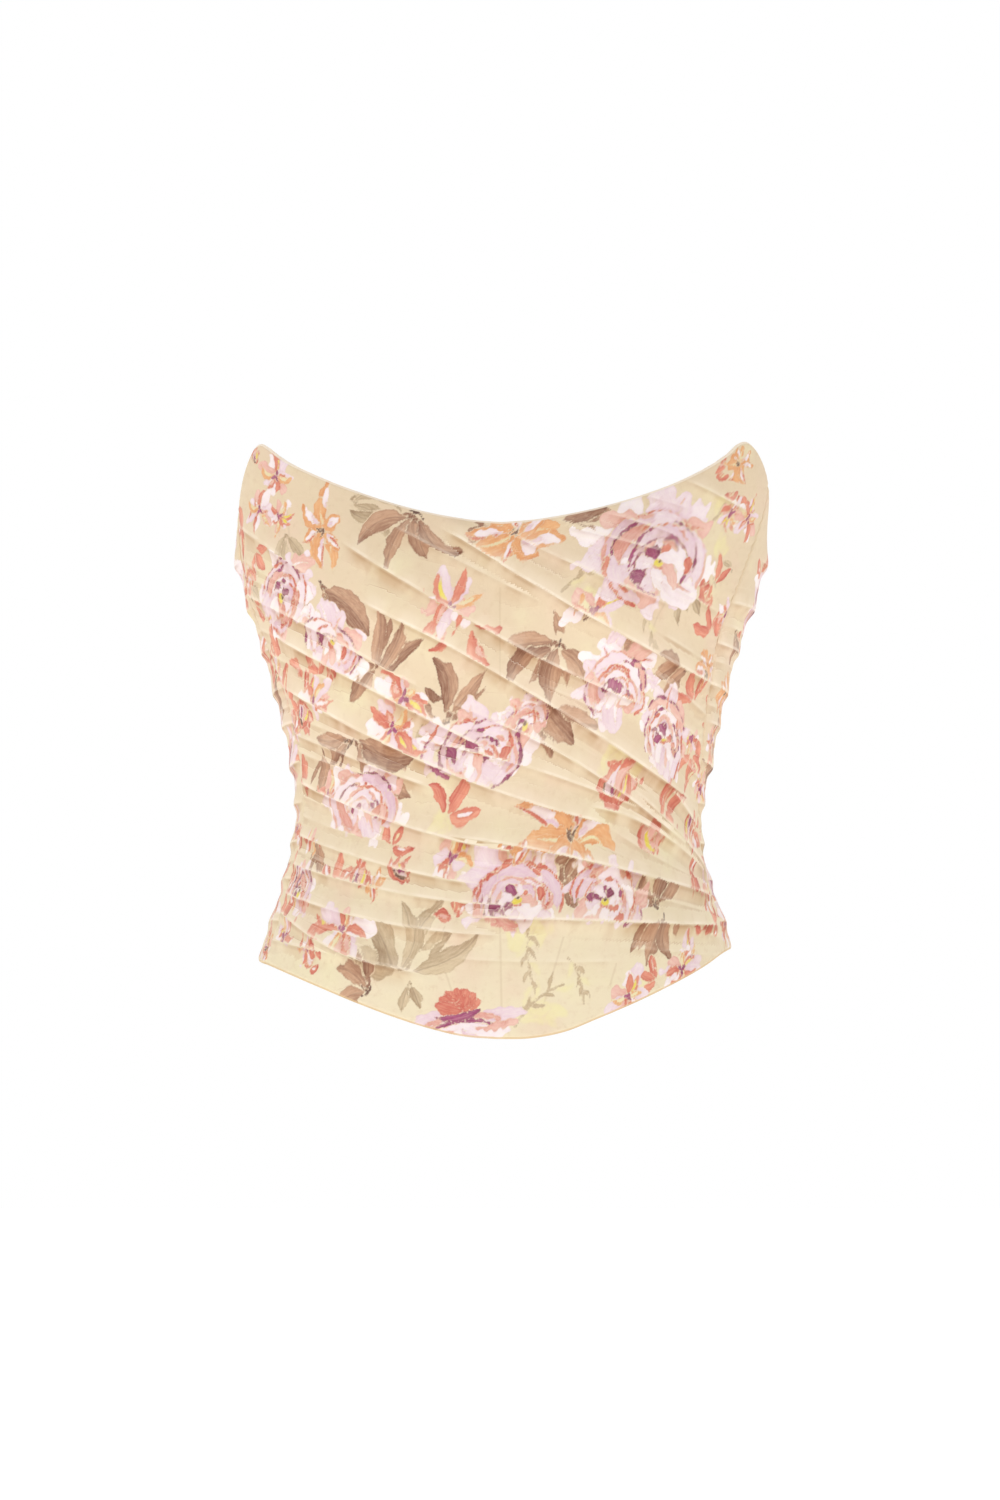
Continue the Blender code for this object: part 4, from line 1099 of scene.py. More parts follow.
class ClothPiece:
    """One cloth piece: a wall with folds and print outside and a plain lining inside."""

    def __init__(self, plan, settings):
        self.plan, self.settings = plan, settings
        self.front = plan.cut is FRONT_CUT
        self.angle, self.z = patch(plan.start, plan.end, plan.cut.grid)
        self.points = smooth_form(self.angle, self.z)
        self.measure_edges()
        self.fold()

    def measure_edges(self):
        """Distances to the piece's edges, in millimetres."""
        per_degree = np.radians(1) * half_width(self.z)
        from_start = (self.angle - self.plan.start(self.z)) * per_degree
        from_end = (self.plan.end(self.z) - self.angle) * per_degree
        self.from_side = np.minimum(from_start, from_end)
        self.from_top = edge_height(TOP_EDGE, self.angle) - self.z
        self.from_hem = self.z - edge_height(HEM, self.angle)

    def fold(self):
        """Large folds as in the solid, then gathers, crisp lips, puckers and turned edges."""
        cut, z, side = self.plan.cut, self.z, self.from_side
        x, arc_per_x = (self.points[..., 0], 1.0) if self.front else (np.abs(self.angle), ARC_PER_DEGREE)
        raised = cut.raised(self.angle, z) * FOLD_SHARE
        gathers = fold_height(cut.gathers, x, z, arc_per_x) * GATHER_SHARE
        self.creases = Creases(cut.folds + cut.gathers, x, z, arc_per_x)
        raised = np.maximum(raised, raised * UNDER_GATHERS + gathers) + self.creases.lip
        pucker = np.sin(z * math.tau / PUCKER_PITCH + PUCKER_SWAY * np.sin(z / PUCKER_RUN))
        pucker = pucker * np.exp(-side / PUCKER_REACH) * smooth(side / PUCKER_START)
        raised = raised + self.settings.pucker_height / MM * pucker
        flat = smooth(np.minimum(self.from_top, self.from_hem) / FLAT_REACH)
        raised = raised * (FLAT_EDGE + (1 - FLAT_EDGE) * flat)
        edges = ((side, SEAM_TURN), (self.from_top, EDGE_TURN), (self.from_hem, EDGE_TURN))
        turned = np.minimum(sum((1 - smooth(away / turn)) * TURNED_IN for away, turn in edges), 1.0)
        self.outer = self.points + outward(self.angle, z) * (raised - turned)[..., None]

    def print_on(self, flowers, sprays, place_of):
        """Draws the print where the flat cloth lies. It breaks at the folds."""
        slant = PRINT_SLANT if self.front else 0.0
        self.across = ROUND.at(self.angle, self.z) + self.creases.jump * slant
        self.up = self.z + self.creases.jump
        self.ink = Print(self.across, self.up)
        self.ink.draw(flowers, sprays, place_of)

    def under_line(self):
        """Sideways distance to the lines of the base that show through the front."""
        away = np.full(self.z.shape, NO_LINE)
        for line in UNDER_LINES if self.front else ():
            t = (line.top_z - self.z) / (line.top_z - line.low_z)
            off = self.points[..., 0] - (line.top_x + (line.low_x - line.top_x) * t)
            beside = (t > 0) & (t < 1) & (np.abs(off) < np.abs(away))
            away = np.where(beside, off, away)
        return away

    def coarse(self, values):
        """The values at the corners of the plain inside."""
        step = self.plan.cut.grid.coarser
        return values[::step, ::step]

    def mesh(self, materials):
        """The closed wall, with the print and the creases as attributes of its corners."""
        grid = self.plan.cut.grid
        cells = (grid.columns // grid.coarser, grid.rows // grid.coarser)
        angle, z = self.coarse(self.angle), self.coarse(self.z)
        outer = self.outer.reshape(-1, 3)
        inner = (smooth_form(angle, z) - outward(angle, z) * WALL).reshape(-1, 3)
        outside = grid_faces(grid.columns, grid.rows, 0)
        inside = grid_faces(*cells, len(outer))[:, ::-1]
        borders = zip(border_numbers(grid.columns, grid.rows, 0), border_numbers(*cells, len(outer)))
        rim = [face for fine, coarse in borders for face in rim_faces(fine, coarse)]
        faces = [*outside.tolist(), *inside.tolist(), *rim]
        mesh = bpy.data.meshes.new(self.plan.name)
        mesh.from_pydata(np.concatenate([outer, inner]) * MM, [], faces)
        for material in materials:
            mesh.materials.append(material)
        lined = np.zeros(len(faces), np.int32)
        lined[len(outside) : len(outside) + len(inside)] = 1
        mesh.polygons.foreach_set("material_index", lined)
        mesh.shade_smooth()
        mesh.set_sharp_from_angle(angle=math.radians(60))
        self.put_attributes(mesh, len(inner))
        mesh.validate()
        return mesh

    def put_attributes(self, mesh, inner_count):
        """What the materials read: values outside with a plain one inside, then those of both sides."""
        inks = {f"ink_{ink}": field for ink, field in self.ink.inks.items()}
        inks["depth"] = self.ink.depth()
        fields = [(name, np.clip(field, DEEPEST, NO_INK), NO_INK) for name, field in inks.items()]
        fields += [
            ("tone", self.ink.tone, 0.0),
            ("crease", self.creases.above, Creases.FAR),
            ("crease_strength", self.creases.strength, 0.0),
            ("under_line", self.under_line(), NO_LINE),
        ]
        for name, values, plain in fields:
            put(mesh, name, np.concatenate([values.ravel(), np.full(inner_count, plain)]))
        for name, values in (("from_top", self.from_top), ("from_hem", self.from_hem)):
            put(mesh, name, np.concatenate([values.ravel(), self.coarse(values).ravel()]))
        brush = np.column_stack([self.ink.brush, self.ink.veined])
        put(mesh, "brush", np.concatenate([brush, np.zeros((inner_count, 3))]))
        angle, z = self.coarse(self.angle), self.coarse(self.z)
        threads = [
            np.stack([across, up, 0 * up], axis=-1).reshape(-1, 3)
            for across, up in ((self.across, self.up), (ROUND.at(angle, z), z))
        ]
        put(mesh, "threads", np.concatenate(threads))

    def make(self, materials):
        plan, cut = self.plan, self.plan.cut
        made = link_piece(plan.name, self.mesh(materials), "bodice", "printed_cloth", plan.node)
        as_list(plan.rests_on)


# Materials


def linear(colour):
    """A colour of the eye, 0 to 255, as Blender's linear colour."""
    share = np.array(colour, float) / 255
    low, high = share / 12.92, ((share + 0.055) / 1.055) ** 2.4
    return (*np.where(share <= 0.04045, low, high), 1.0)


class Nodes:
    """Adds and joins the nodes of one tree."""

    def __init__(self, tree):
        self.tree = tree

    def node(self, kind, **settings):
        made = self.tree.nodes.new(kind)
        for name, value in settings.items():
            setattr(made, name, value)
        return made

    def feed(self, socket, value):
        if isinstance(value, bpy.types.NodeSocket):
            self.tree.links.new(value, socket)
        else:
            socket.default_value = value

    def feed_named(self, sockets, **values):
        for name, value in values.items():
            self.feed(sockets[name.replace("_", " ")], value)

    def join(self, kind, *values, **settings):
        """A node with its first sockets fed. Returns its outputs."""
        made = self.node(kind, **settings)
        for socket, value in zip(made.inputs, values):
            self.feed(socket, value)
        return made.outputs


class Recipe(Nodes):
    """Adds and joins the nodes of one material."""

    def __init__(self, name):
        self.material = bpy.data.materials.new(name)
        self.material.use_nodes = True
        super().__init__(self.material.node_tree)
        self.shader = self.tree.nodes["Principled BSDF"]

    def maths(self, operation, *values, clamp=False):
        return self.join("ShaderNodeMath", *values, operation=operation, use_clamp=clamp)[0]

    def plus(self, first, second):
        return self.maths("ADD", first, second)

    def minus(self, first, second):
        return self.maths("SUBTRACT", first, second)

    def times(self, first, second):
        return self.maths("MULTIPLY", first, second)

    def away(self, value):
        return self.maths("ABSOLUTE", value)

    def waves(self, value, pitch):
        return self.maths("SINE", self.times(value, math.tau / pitch))

    def centred(self, value, span):
        """A value of 0 to 1, spread evenly to both sides of 0."""
        return self.maths("MULTIPLY_ADD", value, span, -span / 2)

    def ramp(self, value, low, high, to_low=0.0, to_high=1.0):
        numbers = (value, low, high, to_low, to_high)
        return self.join("ShaderNodeMapRange", *numbers, interpolation_type="SMOOTHSTEP")[0]

    def band(self, value, low, full, end, gone):
        """Rises from low to full, and falls from end to gone."""
        return self.times(self.ramp(value, low, full), self.ramp(value, gone, end))

    def blend(self, factor, first, second, mode="MIX"):
        made = self.node("ShaderNodeMix", data_type="RGBA", blend_type=mode)
        for number, value in ((0, factor), (6, first), (7, second)):
            self.feed(made.inputs[number], value)
        return made.outputs[2]

    def tint(self, colour, factor, other, mode="MIX"):
        """Lays a colour of the eye over another colour."""
        return self.blend(factor, colour, linear(other), mode)

    def attribute(self, name, output="Fac"):
        return self.node("ShaderNodeAttribute", attribute_name=name).outputs[output]

    def threads(self):
        """Places on the flat cloth: as a vector, across and along the threads."""
        threads = self.attribute("threads", "Vector")
        return (threads, *self.join("ShaderNodeSeparateXYZ", threads)[:2])

    def place(self):
        return self.node("ShaderNodeTexCoord").outputs["Object"]

    def noise(self, vector, scale, detail=2.0, roughness=0.5):
        made = self.node("ShaderNodeTexNoise")
        self.feed_named(made.inputs, Vector=vector, Scale=scale, Detail=detail, Roughness=roughness)
        return made.outputs["Fac"]

    def weave(self, across, up, pitch):
        """Crossing threads, 0 to 1."""
        crossed = self.times(self.waves(across, pitch), self.waves(up, pitch))
        return self.maths("MULTIPLY_ADD", crossed, 0.5, 0.5)

    def finish(self, colour, roughness, relief=None, distance=0.0, strength=1.0, **fixed):
        """Feeds the shader its colour, roughness, raised relief and fixed values."""
        if relief:
            bump = self.node("ShaderNodeBump")
            self.feed_named(bump.inputs, Strength=strength, Distance=distance, Height=relief)
            self.feed(self.shader.inputs["Normal"], bump.outputs[0])
        self.feed_named(self.shader.inputs, Base_Color=colour, Roughness=roughness, **fixed)
        return self.material


def cream_base(r, threads, up, streak, show_through):
    """Cream in patches of yellow, pink and tan, with the lines of the base showing through."""
    mottle = r.noise(threads, 0.028, 3)
    colour = r.blend(r.ramp(up, -100, 60), linear(CREAM_LOW), linear(CREAM_HIGH))
    colour = r.tint(colour, r.ramp(mottle, 0.52, 0.74, 0.0, 0.6), CREAM_YELLOW)
    colour = r.tint(colour, r.ramp(mottle, 0.50, 0.30, 0.0, 0.55), CREAM_PINK)
    colour = r.tint(colour, r.ramp(streak, 0.5, 0.8, 0.0, 0.4), CREAM_TAN)
    return r.tint(colour, r.ramp(r.away(r.attribute("under_line")), 0.9, 0.25, 0.0, show_through), UNDER_SEAM)


def leaf_veins(r, brush, depth):
    """A leaf's midrib and its fainter side veins, 0 to 1."""
    beside, along, veined = r.join("ShaderNodeSeparateXYZ", brush)
    off = r.away(beside)
    wave = r.waves(r.minus(along, r.times(off, 1.1)), 3.1)
    lines = r.maths("MAXIMUM", r.ramp(off, 0.55, 0.15), r.ramp(wave, 0.8, 1.0, 0.0, 0.25))
    return r.times(lines, r.times(r.ramp(depth, -0.2, -0.8), r.ramp(veined, 0.6, 1.0)))


def watercolour(r, colour, threads, streak, settings):
    """The inks, one over the other, streaked by the brush and deeper at the rims of their strokes."""
    brush = r.attribute("brush", "Vector")
    combed = r.join("ShaderNodeVectorMath", brush, (1.0, 0.13, 0.0), operation="MULTIPLY")[0]
    hairs = r.noise(combed, 0.95, 2, 0.6)
    tone = r.maths("MULTIPLY_ADD", r.attribute("tone"), 0.42, 0.45)
    tone = r.plus(r.plus(tone, r.centred(streak, 0.6)), r.centred(hairs, 0.66))
    wobble = r.centred(r.noise(threads, 0.9, 2), 1.2)
    thin = r.ramp(hairs, 0.3, 0.6, 0.86, 1.0)
    for ink, (light, dark) in INKS.items():
        opacity, softness = (settings.wash_opacity, 1.6) if ink == "lemon" else (settings.ink_opacity, 0.4)
        field = r.plus(r.attribute(f"ink_{ink}"), wobble)
        depth = r.maths("ADD", tone, r.ramp(field, -1.3, -0.1, 0.0, 0.18), clamp=True)
        covering = r.times(r.ramp(field, softness, -softness, 0.0, opacity), thin)
        colour = r.blend(covering, colour, r.blend(depth, linear(light), linear(dark)))
    return r.tint(colour, r.times(leaf_veins(r, brush, r.attribute("depth")), 0.22), LEAF_VEIN)


def painted_fold_light(r, colour, threads, settings):
    """Painted light and shade at the folds: a painted highlight on each crease's edge and a broad painted
    glow above it, a broad and a narrow painted shade under it, a pale band at the turned top edge that is
    partly its own paler colour and partly painted highlight, and painted tan shade along the turned hem.
    """
    crease = r.attribute("crease")
    uneven = r.ramp(r.noise(threads, 0.07, 2), 0.34, 0.62, 0.25, 1.0)
    strength = r.times(r.attribute("crease_strength"), uneven)
    broad_shade_amount = r.ramp(r.noise(threads, 0.018, 0), 0.35, 0.65, 0.3, 0.8)
    # Painted light above each crease and painted shade under it: a broad glow, a broad shade, a narrow shade
    # and a pale highlight on the edge itself
    bands = (
        ((0.2, 1.2, 1.5, 9.0), 0.3, PAINTED_HIGHLIGHT_IVORY, "MIX"),
        ((-12.0, -1.5, -1.5, 0.0), broad_shade_amount, BROAD_SHADE, "MULTIPLY"),
        ((-3.2, -0.8, -0.6, 0.0), settings.crease_shade, FOLD_SHADE, "MULTIPLY"),
        ((-0.4, 0.2, 0.6, 1.9), settings.crease_light, PAINTED_HIGHLIGHT_IVORY, "MIX"),
    )
    for places, amount, other, mode in bands:
        factor = r.times(r.band(crease, *places), r.times(strength, amount))
        colour = r.tint(colour, factor, other, mode)
    # A pale band at the turned top edge, partly its own paler colour and partly painted highlight, then
    # painted shade along the turned hem
    colour = r.tint(colour, r.ramp(r.attribute("from_top"), 1.5, 0.9, 0.0, 0.85), PAINTED_HIGHLIGHT_IVORY)
    return r.tint(colour, r.ramp(r.attribute("from_hem"), 1.3, 0.7, 0.0, 0.8), PAINTED_HEM_SHADE)


def printed_cloth(name, settings):
    """Fine sheer cloth over a cream base, with watercolour inks, and crisp fold edges with painted highlight
    and painted shade.
    """
    r = Recipe(name)
    threads, across, up = r.threads()
    streak = r.noise(threads, 0.25, 3, 0.6)
    colour = cream_base(r, threads, up, streak, settings.show_through)
    colour = watercolour(r, colour, threads, streak, settings)
    colour = painted_fold_light(r, colour, threads, settings)
    weave = r.times(r.weave(across, up, settings.thread_pitch / MM), 0.06)
    colour = r.tint(colour, weave, WEAVE_SHADE, "MULTIPLY")
    relief = r.plus(weave, r.times(r.noise(threads, 0.16, 3, 0.6), 0.9))
    rough = r.maths("MULTIPLY_ADD", streak, 0.16, 0.62)
    fixed = {"Sheen_Weight": 0.08, "Sheen_Roughness": 0.45, "Specular_IOR_Level": 0.28}
    return r.finish(colour, rough, relief, 0.0008, 0.55, **fixed)


def lining_cloth(name):
    """Plain cream lining with a stitched facing along the top."""
    r = Recipe(name)
    threads, across, up = r.threads()
    weave = r.weave(across, up, 0.9)
    colour = r.blend(r.noise(threads, 0.05, 3), linear(LINING_LIGHT), linear(LINING_DARK))
    colour = r.tint(colour, r.times(weave, 0.12), LINING_WEAVE, "MULTIPLY")
    from_top = r.attribute("from_top")
    row = r.ramp(r.away(r.minus(from_top, 8.0)), 0.55, 0.2)
    stitch = r.times(row, r.ramp(r.waves(across, 3.0), -0.4, 0.1))
    facing = r.ramp(from_top, 9.6, 9.0)
    colour = r.tint(colour, r.times(facing, 0.35), FACING)
    colour = r.tint(colour, r.times(stitch, 0.55), FACING_STITCH)
    relief = r.minus(r.plus(r.times(weave, 0.2), r.times(facing, 1.4)), r.times(stitch, 0.8))
    fixed = {"Sheen_Weight": 0.15, "Sheen_Roughness": 0.5, "Specular_IOR_Level": 0.25}
    return r.finish(colour, 0.72, relief, 0.0005, 0.6, **fixed)


def woven_tape(name, stitch_row):
    """Herringbone tape with a row of stitches on each side, this far from its middle."""
    r = Recipe(name)
    threads, across, along = r.threads()
    folded = r.away(across)
    twill = r.maths("MULTIPLY_ADD", r.waves(r.plus(along, folded), 1.1), 0.5, 0.5)
    colour = r.blend(r.noise(threads, 0.2, 2), linear(TAPE_LIGHT), linear(TAPE_DARK))
    colour = r.tint(colour, r.times(twill, 0.16), TAPE_TWILL, "MULTIPLY")
    row = r.ramp(r.away(r.minus(folded, stitch_row)), 0.5, 0.2)
    stitch = r.times(row, r.ramp(r.waves(along, 2.8), -0.5, 0.0))
    colour = r.tint(colour, r.times(stitch, 0.6), TAPE_STITCH)
    relief = r.minus(r.times(twill, 0.35), r.times(stitch, 0.9))
    fixed = {"Sheen_Weight": 0.12, "Sheen_Roughness": 0.5, "Specular_IOR_Level": 0.2}
    return r.finish(colour, 0.8, relief, 0.0003, 0.7, **fixed)


def cream_enamel(name):
    """Satin enamel on cast metal, a little uneven."""
    r = Recipe(name)
    place = r.place()
    patches, specks = r.noise(place, 420, 3), r.noise(place, 2600, 2)
    colour = r.blend(r.ramp(patches, 0.35, 0.75), linear(ENAMEL_LIGHT), linear(ENAMEL_DARK))
    colour = r.tint(colour, r.ramp(specks, 0.62, 0.75, 0.0, 0.35), ENAMEL_SPECK)
    rough = r.maths("MULTIPLY_ADD", patches, 0.2, 0.22)
    relief = r.plus(patches, r.times(specks, 0.3))
    return r.finish(colour, rough, relief, 0.00004, 0.6, Metallic=0.25, Coat_Weight=0.5, Coat_Roughness=0.15)


def tooth_nylon(name):
    """The cream nylon of the zip's coil."""
    r = Recipe(name)
    grain = r.noise(r.place(), 900, 2)
    colour = r.blend(grain, linear(NYLON_LIGHT), linear(NYLON_DARK))
    return r.finish(colour, 0.38, grain, 0.00003, 0.5, Specular_IOR_Level=0.5)


def studio_floor(name, settings):
    r = Recipe(name)
    base = settings.floor_colour
    darker = tuple(0.97 * c for c in base)
    colour = r.blend(r.noise(r.place(), 30, 3), (*base, 1.0), (*darker, 1.0))
    r.shader.inputs["Emission Color"].default_value = WHITE
    return r.finish(colour, 0.85, Specular_IOR_Level=0.1, Emission_Strength=settings.floor_glow)


def shared_material(name, build, *values):
    return bpy.data.materials.get(name) or build(name, *values)


# Casings and zip


def strip_mesh(name, centre_angle, half, thick, z_from, z_to, rows, bulge):
    """A strip along the inside of the wall, crowned by bulge at its middle, with its threads as vectors."""
    z = np.linspace(z_from, z_to, rows + 1)[:, None]
    angle = centre_angle(z)
    middle = smooth_form(angle, z)[:, 0]
    normal = outward(angle, z)[:, 0]
    upward = (smooth_form(centre_angle(z + 1), z + 1) - smooth_form(centre_angle(z - 1), z - 1))[:, 0]
    across = np.cross(upward, normal)
    across /= np.linalg.norm(across, axis=-1, keepdims=True)
    near, far = WALL + CASING_CLEAR, WALL + CASING_CLEAR + thick
    crown = bulge * np.clip(1 - (ACROSS_STRIP / BONE_SHARE) ** 2, 0, 1) - thick * WORN
    ring = [(side, near) for side in (-1, 0, 1)]
    ring += [(side, far + rise) for side, rise in zip(ACROSS_STRIP[::-1], crown[::-1])]
    run = np.concatenate([[0], np.cumsum(np.linalg.norm(np.diff(middle, axis=0), axis=1))])
    points, threads = [], []
    for side, deep in ring:
        points.append(middle + across * side * half - normal * deep)
        threads.append(np.column_stack([np.full(rows + 1, side * half), run, 0 * run]))
    count = len(ring)
    faces = [tuple(range(count))[::-1], tuple(rows * count + k for k in range(count))]
    for i in range(rows):
        for j in range(count):
            a, b = i * count + j, i * count + (j + 1) % count
            faces.append((a, b, b + count, a + count))
    mesh = bpy.data.meshes.new(name)
    mesh.from_pydata(np.stack(points, axis=1).reshape(-1, 3) * MM, [], faces)
    put(mesh, "threads", np.stack(threads, axis=1).reshape(-1, 3))
    bm = bmesh.new()
    bm.from_mesh(mesh)
    bmesh.ops.recalc_face_normals(bm, faces=bm.faces)
    bm.to_mesh(mesh)
    bm.free()
    mesh.shade_smooth()
    mesh.set_sharp_from_angle(angle=math.radians(50))
    return mesh


def casing_mesh(line, bulge):
    hem = float(edge_height(HEM, line.hem_angle)) + CASING_FROM_EDGE
    top = float(edge_height(TOP_EDGE, line.top_angle)) - CASING_FROM_EDGE
    knots = (Knot(hem, line.hem_angle), Knot(0.0, line.middle_angle), Knot(top, line.top_angle))
    name = f"bone_{line.name}"
    span = (CASING_HALF_WIDTH, CASING_THICK, hem, top, CASING_ROWS, bulge)
    return strip_mesh(name, lambda z: column(knots, "height", "angle", z), *span)


def zip_teeth(hem, top):
    """Coil teeth up the centre-back opening, joined into one mesh."""
    bm = bmesh.new()
    for k, z in enumerate(np.arange(hem + COIL_FROM_HEM, top - COIL_FROM_TOP, TOOTH_PITCH)):
        deep = smooth_form(np.array(180.0), z)[1] - (WALL + CASING_CLEAR) + TOOTH_RADIUS * COIL_SUNK
        turn = Matrix.Rotation(math.pi / 2 + (TOOTH_LEAN if k % 2 else -TOOTH_LEAN), 4, "Y")
        where = Matrix.Translation(Vector((0, deep, z)) * MM)
        where = where @ turn @ Matrix.Diagonal((1, 1, TOOTH_HALF_WIDTH / TOOTH_RADIUS, 1))
        bmesh.ops.create_uvsphere(bm, u_segments=8, v_segments=6, radius=TOOTH_RADIUS * MM, matrix=where)
    mesh = bpy.data.meshes.new("zip_coil")
    bm.to_mesh(mesh)
    bm.free()
    mesh.shade_smooth()
    return mesh


# Settings


def number(label, about, default, **limits):
    return bpy.props.FloatProperty(name=label, description=about, default=default, **limits)


SHARE = {"min": 0.0, "max": 1.0, "subtype": "FACTOR"}
LENGTH = {"unit": "LENGTH"}
THIN = {"precision": 5, "unit": "LENGTH"}
POWER = {"min": 0.0, "unit": "POWER"}


class CorsetClothSettings(bpy.types.PropertyGroup):
    ink_opacity: number("Ink opacity", "How strongly the inks cover the cloth", 0.96, **SHARE)
    wash_opacity: number("Wash opacity", "How strongly the lemon washes cover the cloth", 0.5, **SHARE)
    # Strengths of the painted highlight on the folds' turned edges and of the painted shade just under them
    crease_light: number("Crease light", "How pale the turned edges of the folds are", 0.7, **SHARE)
    crease_shade: number("Crease shade", "How dark the cloth is just under a fold", 0.4, **SHARE)
    show_through: number("Show-through", "How clearly the base's seams show through the front", 0.3, **SHARE)
    thread_pitch: number("Thread pitch", "From thread to thread", 0.00045, min=0.0002, max=0.002, **THIN)
    pucker_height: number("Pucker height", "Of the puckers beside seams", 0.00035, min=0.0, max=0.001, **THIN)


class CorsetCasingSettings(bpy.types.PropertyGroup):
    bone_bulge: number("Bone bulge", "How far a bone lifts its casing", 0.0005, min=0.0, max=0.001, **THIN)


class CorsetStudioSettings(bpy.types.PropertyGroup):
    floor_colour: bpy.props.FloatVectorProperty(
        name="Floor colour",
        description="Colour of the studio floor",
        default=(0.93, 0.93, 0.92),
        min=0.0,
        max=1.0,
        subtype="COLOR",
    )
    floor_glow: number("Floor glow", "The floor's own light", 0.7, min=0.0, max=1.0)
    floor_height: number("Floor height", "Height of the floor from the waist", -0.9, **LENGTH)
    ambient: number("Ambient light", "Strength of the even light from all round", 0.53, min=0.0, max=2.0)
    key_power: number("Key light", "Power of the large light above the front", 12.0, **POWER)
    fill_power: number("Fill light", "Power of each side light", 8.0, **POWER)
    frame_height: number("Frame height", "Height of the picture at the corset", 0.825, min=0.1, **LENGTH)
    camera_distance: number("Camera distance", "From the corset's middle", 2.6, min=0.5, **LENGTH)
    camera_height: number("Camera height", "Height of the camera above the waist", 0.032, **LENGTH)


# Operators


def cloth_materials(context):
    return (
        shared_material("printed cloth", printed_cloth, context.scene.corset_cloth),
        shared_material("cream lining", lining_cloth),
    )


def make_cloth(context, plan, flowers, sprays, place_of):
    piece = ClothPiece(plan, context.scene.corset_cloth)
    piece.print_on(flowers, sprays, place_of)
    piece.make(cloth_materials(context))


# A piece that is made for both sides: its print is strewn between two angles and heights, and on the left the
# motifs are moved round between others
Strewn = namedtuple("Strewn", "count seed low high first_angle angle_span")
Band = namedtuple("Band", "first last low high")
Pair = namedtuple("Pair", "name casing cut flowers sprays strewn moved")
SIDE_BACKS = Pair(
    name="side_back",
    casing="casing_back",
    cut=SIDE_CUT,
    flowers=SIDE_FLOWERS,
    sprays=SIDE_SPRAYS,
    strewn=Strewn(24, 9, -80, 142, 72, 60),
    moved=Band(72, 132, -84, 144),
)
BACKS = Pair(
    name="back",
    casing="casing_zip",
    cut=BACK_CUT,
    flowers=BACK_FLOWERS,
    sprays=BACK_SPRAYS,
    strewn=Strewn(16, 12, -84, 124, 133, 45),
    moved=Band(132, 180, -90, 128),
)


def make_pair(context, pair, left, right):
    """The left and right of a pair, each between its two boundaries."""
    *strewn, first_angle, angle_span = pair.strewn
    stars, strokes = scattered(*strewn, lambda share, z: first_angle + angle_span * share)
    for word, side, (start, end) in (("left", -1, left), ("right", 1, right)):
        flowers = moved_round(stars + pair.flowers, side, *pair.moved)
        sprays = moved_round(strokes + pair.sprays, side, *pair.moved)
        name, node = f"{pair.name}_printed_{word}", f"{pair.name}_{word}"
        plan = ClothPlan(name, node, start, end, pair.cut, [f"{pair.casing}_{word}"])
        make_cloth(context, plan, flowers, sprays, round_place(side))


class CORSET_OT_front(bpy.types.Operator):
    """Builds the draped front with its folds and print"""

    bl_idname = "corset.front"
    bl_label = "Draped front"

    def execute(self, context):
        start, end = clear_of(left_seam, SEAM_GAP / 2), clear_of(right_seam, -SEAM_GAP / 2)
        plan = ClothPlan("front_printed_drape", "front_drape", start, end, FRONT_CUT, ["casing_front_centre"])
        flowers, sprays = (), ()
        for side, seed in ((-1, 7), (1, 8)):
            stars, strokes = scattered(26, seed, -84, 176, beside_seam(side))
            flowers, sprays = flowers + stars, sprays + strokes
        make_cloth(context, plan, flowers + FRONT_FLOWERS, sprays + FRONT_SPRAYS, front_place)
        return {"FINISHED"}


class CORSET_OT_side_backs(bpy.types.Operator):
    """Builds the two gathered side backs"""

    bl_idname = "corset.side_backs"
    bl_label = "Side backs"

    def execute(self, context):
        half = SEAM_GAP / 2
        left = (clear_of(at_angle(-BACK_SEAM_ANGLE), half), clear_of(left_seam, -half))
        right = (clear_of(right_seam, half), clear_of(at_angle(BACK_SEAM_ANGLE), -half))
        make_pair(context, SIDE_BACKS, left, right)
        return {"FINISHED"}


class CORSET_OT_backs(bpy.types.Operator):
    """Builds the two backs beside the zip"""

    bl_idname = "corset.backs"
    bl_label = "Backs"

    def execute(self, context):
        half, back_half = SEAM_GAP / 2, CENTRE_BACK_GAP / 2
        left = (clear_of(at_angle(-180.0), back_half), clear_of(at_angle(-BACK_SEAM_ANGLE), -half))
        right = (clear_of(at_angle(BACK_SEAM_ANGLE), half), clear_of(at_angle(180.0), -back_half))
        make_pair(context, BACKS, left, right)
        return {"FINISHED"}


class CORSET_OT_casings(bpy.types.Operator):
    """Builds the stitched tape casings of the bones"""

    bl_idname = "corset.casings"
    bl_label = "Bone casings"

    def execute(self, context):
        tape = shared_material("stitched casing tape", woven_tape, CASING_STITCHES)
        for line in CASINGS:
            mesh = casing_mesh(line, context.scene.corset_casings.bone_bulge / MM)
            mesh.materials.append(tape)
            link_piece(mesh.name, mesh, "bodice", "bone_casing", line.name)
        return {"FINISHED"}


